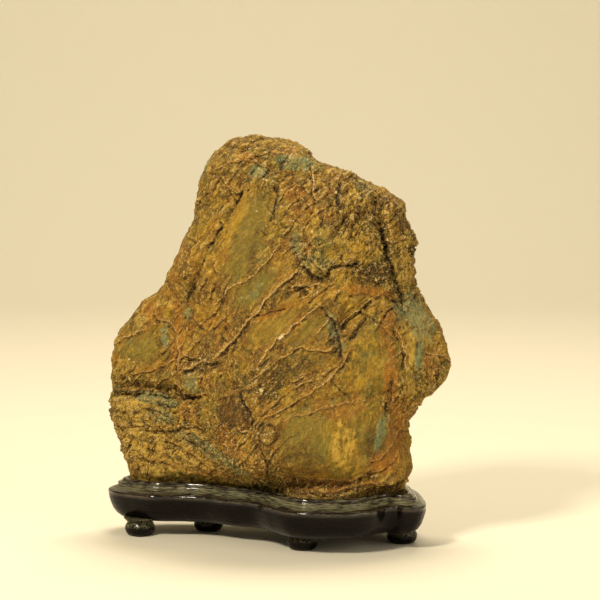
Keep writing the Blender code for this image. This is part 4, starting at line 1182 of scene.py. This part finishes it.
def make_stone_surface(settings):
    """The stone: the eased solid, displaced by its relief and thinned to its triangle budget."""
    stone = stone_base(settings)
    mesh = stone.data
    points, normals = points_and_normals(mesh)
    height = stone_relief(points, normals, settings)
    set_points(mesh, points + normals * height[:, None])
    store(mesh, "relief", standing_out(mesh, normals, BROAD_PASSES))
    store(mesh, "edge", standing_out(mesh, normals, EDGE_PASSES))
    store(mesh, "eased_normal", normals, "FLOAT_VECTOR")
    triangles = sum(len(face.vertices) - 2 for face in mesh.polygons)
    thin = stone.modifiers.new("thin", "DECIMATE")
    thin.ratio = min(1.0, settings.triangles / triangles)
    stone.data = mesh = baked(stone)
    eased = rows_of(mesh.attributes["eased_normal"].data)
    eased /= np.maximum(np.linalg.norm(eased, axis=1, keepdims=True), 1e-6)
    store_surface_values(mesh, points_and_normals(mesh)[0], eased)
    mesh.attributes.remove(mesh.attributes["eased_normal"])
    mesh.shade_smooth()
    mesh.materials.clear()
    mesh.materials.append(rock_material(settings))
    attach(stone, "root")
    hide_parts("stone")


def start_tree(name, **inputs):
    """A Geometry Nodes tree with a geometry and these inputs, and the outputs of the node that gives them."""
    tree = bpy.data.node_groups.new(name, "GeometryNodeTree")
    for label, kind in (("Geometry", "Geometry"), *inputs.items()):
        tree.interface.new_socket(label, in_out="INPUT", socket_type=f"NodeSocket{kind}")
    tree.interface.new_socket("Geometry", in_out="OUTPUT", socket_type="NodeSocketGeometry")
    return tree, add_node(tree, "NodeGroupInput").outputs


def end_tree(tree, instances, material):
    """The tree's instances made real, in their material."""
    real = add_node(tree, "GeometryNodeRealizeInstances", {"Geometry": instances})
    finished = add_node(tree, "GeometryNodeSetMaterial", {"Geometry": real.outputs[0], "Material": material})
    add_node(tree, "NodeGroupOutput", {"Geometry": finished.outputs[0]})
    return tree


def grit_tree(material):
    """Loose grains stuck to a surface, as dense as its `gritty` value says."""
    tree, given = start_tree("stuck grit", Density="Float", Grain="Float", Seed="Int")
    gritty = add_node(tree, "GeometryNodeInputNamedAttribute", {"Name": "gritty"}, data_type="FLOAT").outputs[0]
    factor = add_node(tree, "ShaderNodeMath", {0: gritty, 1: GRIT_CONTRAST}, operation="POWER").outputs[0]
    density = add_node(tree, "ShaderNodeMath", {0: factor, 1: given["Density"]}, operation="MULTIPLY").outputs[0]
    spread = add_node(tree, "GeometryNodeDistributePointsOnFaces", {
        "Mesh": given["Geometry"], "Density": density, "Seed": given["Seed"]})
    grain = add_node(tree, "GeometryNodeMeshIcoSphere", {"Radius": given["Grain"], "Subdivisions": 1})
    shape = add_node(tree, "FunctionNodeRandomValue", {
        0: SMALLEST_GRAIN, 1: LARGEST_GRAIN, "Seed": 5}, data_type="FLOAT_VECTOR")
    turn = add_node(tree, "FunctionNodeRandomValue", {
        0: (0.0, 0.0, 0.0), 1: (2 * math.pi,) * 3, "Seed": 6}, data_type="FLOAT_VECTOR")
    placed = add_node(tree, "GeometryNodeInstanceOnPoints", {
        "Points": spread.outputs["Points"], "Instance": grain.outputs["Mesh"], "Rotation": turn.outputs[0],
        "Scale": shape.outputs[0]})
    return end_tree(tree, placed.outputs[0], material)


def grow(worked, tree, values):
    """The mesh that the Geometry Nodes tree makes of the object; values are by the names of the tree's inputs."""
    modifier = worked.modifiers.new(tree.name, "NODES")
    modifier.node_group = tree
    for item in tree.interface.items_tree:
        if item.item_type == "SOCKET" and item.in_out == "INPUT" and item.name in values:
            modifier[item.identifier] = values[item.name]
    return baked(worked)


def make_crust_grit(settings):
    """Grains standing on the crust and the crumbling ledges, coloured as what they are stuck to."""
    stone = bpy.data.objects["stone_surface"]
    grit = new_object("crust_grit", stone.data.copy())
    mesh = grow(grit, grit_tree(stone.data.materials[0]), {
        "Density": settings.grain_density, "Grain": settings.grain_radius, "Seed": GRIT_SEED})
    if not len(mesh.polygons):
        raise RuntimeError("no grit was placed: the stone's surface has no gritty values")
    grit.data = mesh
    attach(grit, "root")


# ---------------------------------------------------------------------------- stand


def closed_curve(points, count):
    """Points evenly spaced along the smooth closed curve through the given ones."""
    knots = np.array(points, float)
    before, after, beyond = np.roll(knots, 1, 0), np.roll(knots, -1, 0), np.roll(knots, -2, 0)
    share = np.linspace(0.0, 1.0, 24, endpoint=False)[:, None, None]
    cubic = 0.5 * (
        2 * knots
        + (after - before) * share
        + (2 * before - 5 * knots + 4 * after - beyond) * share**2
        + (3 * knots - before - 3 * after + beyond) * share**3
    )
    dense = cubic.transpose(1, 0, 2).reshape(-1, 2)
    closed = np.vstack([dense, dense[:1]])
    run = np.concatenate([[0.0], np.cumsum(np.linalg.norm(np.diff(closed, axis=0), axis=1))])
    stations = np.linspace(0.0, run[-1], count, endpoint=False)
    return np.stack([np.interp(stations, run, closed[:, axis]) for axis in (0, 1)], 1)


def outward(curve, smoothing):
    """Unit vectors across a counter-clockwise closed curve, evened out so that they never cross."""
    along = np.roll(curve, -1, 0) - np.roll(curve, 1, 0)
    across = np.stack([along[:, 1], -along[:, 0]], 1)
    across /= np.linalg.norm(across, axis=1, keepdims=True)
    for _ in range(smoothing):
        across = (np.roll(across, 1, 0) + across + np.roll(across, -1, 0)) / 3.0
    return across / np.linalg.norm(across, axis=1, keepdims=True)


def board_section():
    """The board's section: out from the recess wall and up, with how rubbed each point is and how much pale dust and
    painted reflection it carries.
    """
    rows = []
    for (out, up), (next_out, next_up) in zip(APRON, APRON[1:]):
        for share in (0.0, 1 / 3, 2 / 3):
            rows.append((out + share * (next_out - out), up + share * (next_up - up), APRON_RUBBED, 0.0))
    for (centre_out, centre_up), radius, first, last, steps, rubbed, dusty in MOULDINGS:
        for step in range(steps + 1):
            turn = math.radians(first + (last - first) * step / steps)
            rows.append((centre_out + radius * math.cos(turn), centre_up + radius * math.sin(turn), rubbed, dusty))
    return np.array(rows + RECESS)


def rim_run(rim, section):
    """A coordinate in metres that runs round the rim and up the section, so that streaks follow the mouldings."""
    lengths = np.linalg.norm(np.roll(rim, -1, 0) - rim, axis=1)
    turn = 2 * math.pi * (np.cumsum(lengths) - lengths[0]) / lengths.sum()
    radius = lengths.sum() / (2 * math.pi * STREAKS_DRAWN)
    climb = np.concatenate([[0.0], np.cumsum(np.hypot(*np.diff(section[:, :2], axis=0).T))])
    ring = np.stack([radius * np.cos(turn), radius * np.sin(turn)], 1)
    return np.column_stack([np.tile(ring, (len(section), 1)), np.repeat(climb, len(rim))]) * MM


def make_board(settings):
    """The carved board: bellied apron, sloping ledge and double beaded lip round the recess."""
    section = board_section()
    rim = closed_curve(RIM_OUTLINE, STAND_STATIONS)
    across = outward(rim, RIM_PASSES)
    wall = rim - LEDGE * across
    rings = wall[None] + section[:, 0, None, None] * across[None]
    outs, heights, rubbed, dusty = np.repeat(section, STAND_STATIONS, 0).T
    points = np.column_stack([rings.reshape(-1, 2), heights])
    rows = np.arange(len(points)).reshape(len(section), STAND_STATIONS)
    onward = np.roll(rows, -1, 1)
    quads = np.stack([rows[:-1], onward[:-1], onward[1:], rows[1:]], 2).reshape(-1, 4)
    faces = [*quads.tolist(), rows[0, ::-1].tolist(), rows[-1].tolist()]
    mesh = bpy.data.meshes.new("stand_board")
    mesh.from_pydata((points * MM).tolist(), [], faces)
    mesh.update()
    board = new_object("stand_board", mesh)
    # knife work: long soft facets and small nicks, none on the underside or the floor of the recess
    _, normals = points_and_normals(mesh)
    carved = 0.28 * noise(points, 15.0, 501) + 0.1 * noise(points, 5.0, 502) + 0.035 * ridges(points, 1.8, 503)
    clear_of_floor = np.where(outs > 1.0, 1.0, smooth_step(RECESS_FLOOR + 0.5, RECESS_FLOOR + 4.0, heights))
    clear_of_underside = smooth_step(8.0, 9.0, heights)
    carved = carved * clear_of_floor * clear_of_underside
    set_points(mesh, points + normals * (carved * settings.knife_work / MM)[:, None])
    store(mesh, "run", rim_run(wall, section), "FLOAT_VECTOR")
    store(mesh, "rubbed", rubbed)
    store(mesh, "dusty", dusty)
    mesh.shade_smooth()
    mesh.materials.append(lacquer_material(settings))
    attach(board, "root")
    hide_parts("stand")


def foot_mesh():
    """A turned bun foot, its axis on +Z and its sole at height 0."""
    profile = bpy.data.meshes.new("bun_foot")
    rows = [(radius * MM, 0.0, height * MM) for radius, height in FOOT_SECTION]
    profile.from_pydata(rows, [(step, step + 1) for step in range(len(rows) - 1)], [])
    turned = new_object("bun_foot", profile)
    screw = turned.modifiers.new("turn", "SCREW")
    screw.steps = screw.render_steps = FOOT_STEPS
    screw.use_merge_vertices = True
    screw.merge_threshold = WELD
    mesh = baked(turned)
    bm = bmesh.new()
    bm.from_mesh(mesh)
    bmesh.ops.remove_doubles(bm, verts=bm.verts, dist=WELD)
    bmesh.ops.recalc_face_normals(bm, faces=bm.faces)
    bmesh.ops.subdivide_edges(bm, edges=bm.edges, cuts=1, use_grid_fill=True)
    bm.to_mesh(mesh)
    bm.free()
    turned.data = mesh
    return turned


def feet_tree(material):
    """One turned foot set at each point, each turned differently about its axis."""
    tree, given = start_tree("bun feet", Foot="Object", Turn="Float")
    foot = add_node(tree, "GeometryNodeObjectInfo", {"Object": given["Foot"]}).outputs["Geometry"]
    number = add_node(tree, "GeometryNodeInputIndex").outputs[0]
    angle = add_node(tree, "ShaderNodeMath", {0: number, 1: given["Turn"]}, operation="MULTIPLY").outputs[0]
    turn = add_node(tree, "ShaderNodeCombineXYZ", {"Z": angle}).outputs[0]
    placed = add_node(tree, "GeometryNodeInstanceOnPoints", {
        "Points": given["Geometry"], "Instance": foot, "Rotation": turn})
    return end_tree(tree, placed.outputs[0], material)


def make_feet(settings):
    """The five bun feet under the board, each a little uneven from the knife."""
    places = bpy.data.meshes.new("stand_feet")
    places.from_pydata([(x * MM, y * MM, 0.0) for x, y in FEET], [], [])
    feet = new_object("stand_feet", places)
    foot = foot_mesh()
    lacquer = bpy.data.materials["black_lacquered_rosewood"]
    mesh = grow(feet, feet_tree(lacquer), {"Foot": foot, "Turn": FOOT_TURN})
    bpy.data.objects.remove(foot)
    points, normals = points_and_normals(mesh)
    carved = 0.28 * noise(points, 6.0, 511) + 0.1 * noise(points, 2.4, 512)
    clear_of_sole = smooth_step(0.1, 1.2, points[:, 2])
    set_points(mesh, points + normals * (carved * clear_of_sole * settings.knife_work / MM)[:, None])
    store(mesh, "run", points * MM, "FLOAT_VECTOR")
    store(mesh, "rubbed", 0.3 * smooth_step(3.0, 1.5, points[:, 2]))
    # pale dust on the upper part of each foot, which also stands for a painted highlight there
    store(mesh, "dusty", 0.6 * smooth_step(3.0, 5.5, points[:, 2]))
    mesh.shade_smooth()
    feet.data = mesh
    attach(feet, "root")
    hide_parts("stand")


# ---------------------------------------------------------------------------- stage


def make_backdrop(settings):
    """A floor that curves up into a wall behind the object."""
    profile = [(PAPER_NEAR, 0.0)]
    for step in range(BEND_STEPS + 1):
        turn = math.radians(-90.0 + 90.0 * step / BEND_STEPS)
        profile.append((PAPER_FAR - PAPER_BEND + PAPER_BEND * math.cos(turn), PAPER_BEND + PAPER_BEND * math.sin(turn)))
    profile.append((PAPER_FAR, PAPER_TOP))
    points = [(side * PAPER_HALF, y, z) for y, z in profile for side in (-1, 1)]
    faces = [(2 * row, 2 * row + 1, 2 * row + 3, 2 * row + 2) for row in range(len(profile) - 1)]
    mesh = bpy.data.meshes.new("backdrop")
    mesh.from_pydata(points, [], faces)
    mesh.shade_smooth()
    mesh.materials.append(paper_material(settings))
    backdrop = new_object("backdrop", mesh)


def add_softbox(name, place, size, power):
    """A rectangular lamp that points at the middle of the object."""
    light = bpy.data.lights.new(name, "AREA")
    light.shape = "RECTANGLE"
    light.size, light.size_y = size
    light.energy = power
    light.color = linear(LAMPLIGHT)
    lamp = new_object(name, light)
    lamp.location = place
    x, y, z = np.array(MIDDLE) - np.array(place)
    lamp.rotation_euler = (math.atan2(math.hypot(x, y), -z), 0.0, math.atan2(y, x) - math.pi / 2)


def make_stage(settings):
    """Pale paper, soft light from the upper left and overhead, and the camera."""
    make_backdrop(settings)
    for name, place, size in SOFTBOXES:
        add_softbox(name, place, size, getattr(settings, f"{name}_power"))
    world = bpy.data.worlds.new("studio")
    world.use_nodes = True
    background = world.node_tree.nodes["Background"]
    background.inputs["Color"].default_value = (*linear(ROOM_LIGHT), 1.0)
    background.inputs["Strength"].default_value = settings.ambient
    bpy.context.scene.world = world
    bpy.context.scene.view_settings.view_transform = "Standard"

    optics = bpy.data.cameras.new("camera")
    optics.sensor_width = SENSOR_WIDTH_MM
    optics.lens = settings.lens
    camera = new_object("camera", optics)
    camera.location = CAMERA_PLACE
    camera.rotation_euler = (math.radians(90.0) - settings.camera_tilt, 0.0, 0.0)
    bpy.context.scene.camera = camera


# ---------------------------------------------------------------------------- add-on


def colour_setting(name, description, hex_colour):
    """A colour that the panel shows, its default written as sRGB hex."""
    return FloatVectorProperty(
        name=name, description=description, subtype="COLOR", size=3, min=0.0, max=1.0, default=linear(hex_colour))


class StoneSettings(bpy.types.PropertyGroup):
    voxel: FloatProperty(
        name="Mesh spacing", description="Spacing of the mesh that the relief is cut into",
        default=0.00068, min=0.0003, max=0.005, precision=5, unit="LENGTH")
    easing: IntProperty(
        name="Easing", description="Smoothing passes that take the facets off the solid", default=18, min=0, max=80)
    triangles: IntProperty(
        name="Triangles", description="Triangles left in the finished surface", default=196000, min=10000, max=199000)
    relief: FloatProperty(
        name="Relief", description="Strength of all the relief, 1 as modelled", default=1.0, min=0.0, max=3.0,
        subtype="FACTOR")
    seam_depth: FloatProperty(
        name="Seam depth", description="Strength of the seams and cracks, 1 as modelled", default=1.25, min=0.0,
        max=3.0, subtype="FACTOR")
    grit_depth: FloatProperty(
        name="Grit depth", description="Depth of the finest grit, which is drawn in the material",
        default=0.0018, min=0.0, max=0.004, precision=5, unit="LENGTH")
    grain_density: FloatProperty(
        name="Grains", description="Loose grains on each square metre of crust", default=620000.0, min=0.0,
        max=2000000.0)
    grain_radius: FloatProperty(
        name="Grain radius", description="Radius of a middling grain", default=0.0005, min=0.0001, max=0.003,
        precision=5, unit="LENGTH")
    olive_brown: colour_setting("Olive brown", "The dull stone where it is greener", "#7b6921")
    brown: colour_setting("Brown", "The dull stone where it is browner", "#8a6322")
    ochre: colour_setting("Ochre", "Yellow iron weathering", "#bb9224")
    olive: colour_setting("Olive", "Smooth green-grey slabs", "#766e28")
    # This colour is also painted shade in two bands along the foot of the stone.
    umber: colour_setting("Umber", "Dark weathering", "#40290a")
    rust: colour_setting("Rust", "Orange iron stain along seams", "#a6681c")
    verdigris: colour_setting("Verdigris", "Blue-green mineral bloom", "#7a8a5e")
    straw: colour_setting("Straw", "Pale yellow bloom on the crust", "#dcb650")
    # This colour is also painted glints on the edges of chips, on sparks and on pale specks.
    cream: colour_setting("Cream", "Pale vein filling and specks", "#ecdca2")
    vein: colour_setting("Vein", "Filling of the rusty veins", "#cba04a")
    # This colour is also the painted shade in hollows, at chip edges and in small pits, besides dirt and dark cracks.
    hollow: colour_setting("Hollow", "Dirt in the hollows", "#2c1c0a")
    # This colour is a painted highlight on crests and on pale grains.
    crest: colour_setting("Crest", "Rubbed high points", "#cda548")
    # This colour is also the painted shadow below the ledge of a raised seam.
    crack: colour_setting("Crack", "The dark of open cracks", "#1a1107")


class StandSettings(bpy.types.PropertyGroup):
    knife_work: FloatProperty(
        name="Knife work", description="Unevenness left by the carver", default=0.001, min=0.0, max=0.004,
        precision=5, unit="LENGTH")
    lacquer: colour_setting("Lacquer", "Black-brown lacquer", "#070402")
    lacquer_brown: colour_setting("Thin lacquer", "Lacquer where it lies thin along the grain", "#0b0604")
    bare_wood: colour_setting("Bare wood", "Reddish wood where the lacquer is rubbed through", "#45200f")
    # This colour is also the painted reflection on the ledge and beads and a painted highlight on the tops of the feet.
    dust: colour_setting("Dust", "Grey-green bloom on the ledge and in the grooves", "#a39d74")


class StageSettings(bpy.types.PropertyGroup):
    paper: colour_setting("Paper", "Colour of the floor and backdrop", "#e9e1c8")
    key_power: FloatProperty(
        name="Key", description="Power of the softbox at the upper left", default=20.5, unit="POWER")
    overhead_power: FloatProperty(
        name="Overhead", description="Power of the softbox above and behind", default=14.0, unit="POWER")
    fill_power: FloatProperty(name="Fill", description="Power of the softbox on the right", default=7.0, unit="POWER")
    ambient: FloatProperty(name="Ambient", description="Strength of the light from all round", default=0.26)
    lens: FloatProperty(name="Lens", description="Focal length of the camera in millimetres", default=161.4)
    camera_tilt: FloatProperty(
        name="Camera tilt", description="How far the camera looks down", default=math.radians(7.0), unit="ROTATION")


class VIEWING_STONE_OT_surface(bpy.types.Operator):
    """Make the weathered surface of the stone"""

    bl_idname = "viewing_stone.surface"
    bl_label = "Stone Surface"

    def execute(self, context):
        make_stone_surface(context.scene.stone_settings)
        return {"FINISHED"}


class VIEWING_STONE_OT_grit(bpy.types.Operator):
    """Stick loose grains to the stone's crust"""

    bl_idname = "viewing_stone.grit"
    bl_label = "Crust Grit"

    def execute(self, context):
        make_crust_grit(context.scene.stone_settings)
        return {"FINISHED"}


class VIEWING_STONE_OT_board(bpy.types.Operator):
    """Make the stand's carved board"""

    bl_idname = "viewing_stone.board"
    bl_label = "Stand Board"

    def execute(self, context):
        make_board(context.scene.stand_settings)
        return {"FINISHED"}


class VIEWING_STONE_OT_feet(bpy.types.Operator):
    """Set the five bun feet under the board"""

    bl_idname = "viewing_stone.feet"
    bl_label = "Stand Feet"

    def execute(self, context):
        make_feet(context.scene.stand_settings)
        return {"FINISHED"}


class VIEWING_STONE_OT_stage(bpy.types.Operator):
    """Set up the paper, the lights and the camera"""

    bl_idname = "viewing_stone.stage"
    bl_label = "Studio"

    def execute(self, context):
        make_stage(context.scene.stage_settings)
        return {"FINISHED"}


OPERATORS = (
    VIEWING_STONE_OT_stage,
    VIEWING_STONE_OT_surface,
    VIEWING_STONE_OT_grit,
    VIEWING_STONE_OT_board,
    VIEWING_STONE_OT_feet,
)


class VIEWING_STONE_PT_panel(bpy.types.Panel):
    """Lists the pieces and their settings"""

    bl_idname = "VIEWING_STONE_PT_panel"
    bl_label = "Viewing Stone"
    bl_space_type = "VIEW_3D"
    bl_region_type = "UI"
    bl_category = "Viewing Stone"

    def draw(self, context):
        for operator in OPERATORS:
            self.layout.operator(operator.bl_idname)
        for group in (context.scene.stone_settings, context.scene.stand_settings, context.scene.stage_settings):
            box = self.layout.box()
            for name in group.__annotations__:
                box.prop(group, name)


CLASSES = (StoneSettings, StandSettings, StageSettings, *OPERATORS, VIEWING_STONE_PT_panel)


def register():
    """Adds the classes to Blender and their settings to every scene."""
    for made in CLASSES:
        bpy.utils.register_class(made)
    bpy.types.Scene.stone_settings = PointerProperty(type=StoneSettings)
    bpy.types.Scene.stand_settings = PointerProperty(type=StandSettings)
    bpy.types.Scene.stage_settings = PointerProperty(type=StageSettings)


def unregister():
    """Takes away what register added."""
    del bpy.types.Scene.stage_settings
    del bpy.types.Scene.stand_settings
    del bpy.types.Scene.stone_settings
    for made in reversed(CLASSES):
        bpy.utils.unregister_class(made)


def main():
    """Builds the stage and every piece through the add-on's own operators."""
    register()
    bpy.ops.viewing_stone.stage()
    bpy.ops.viewing_stone.surface()
    bpy.ops.viewing_stone.grit()
    bpy.ops.viewing_stone.board()
    bpy.ops.viewing_stone.feet()


if __name__ == "__main__":
    main()
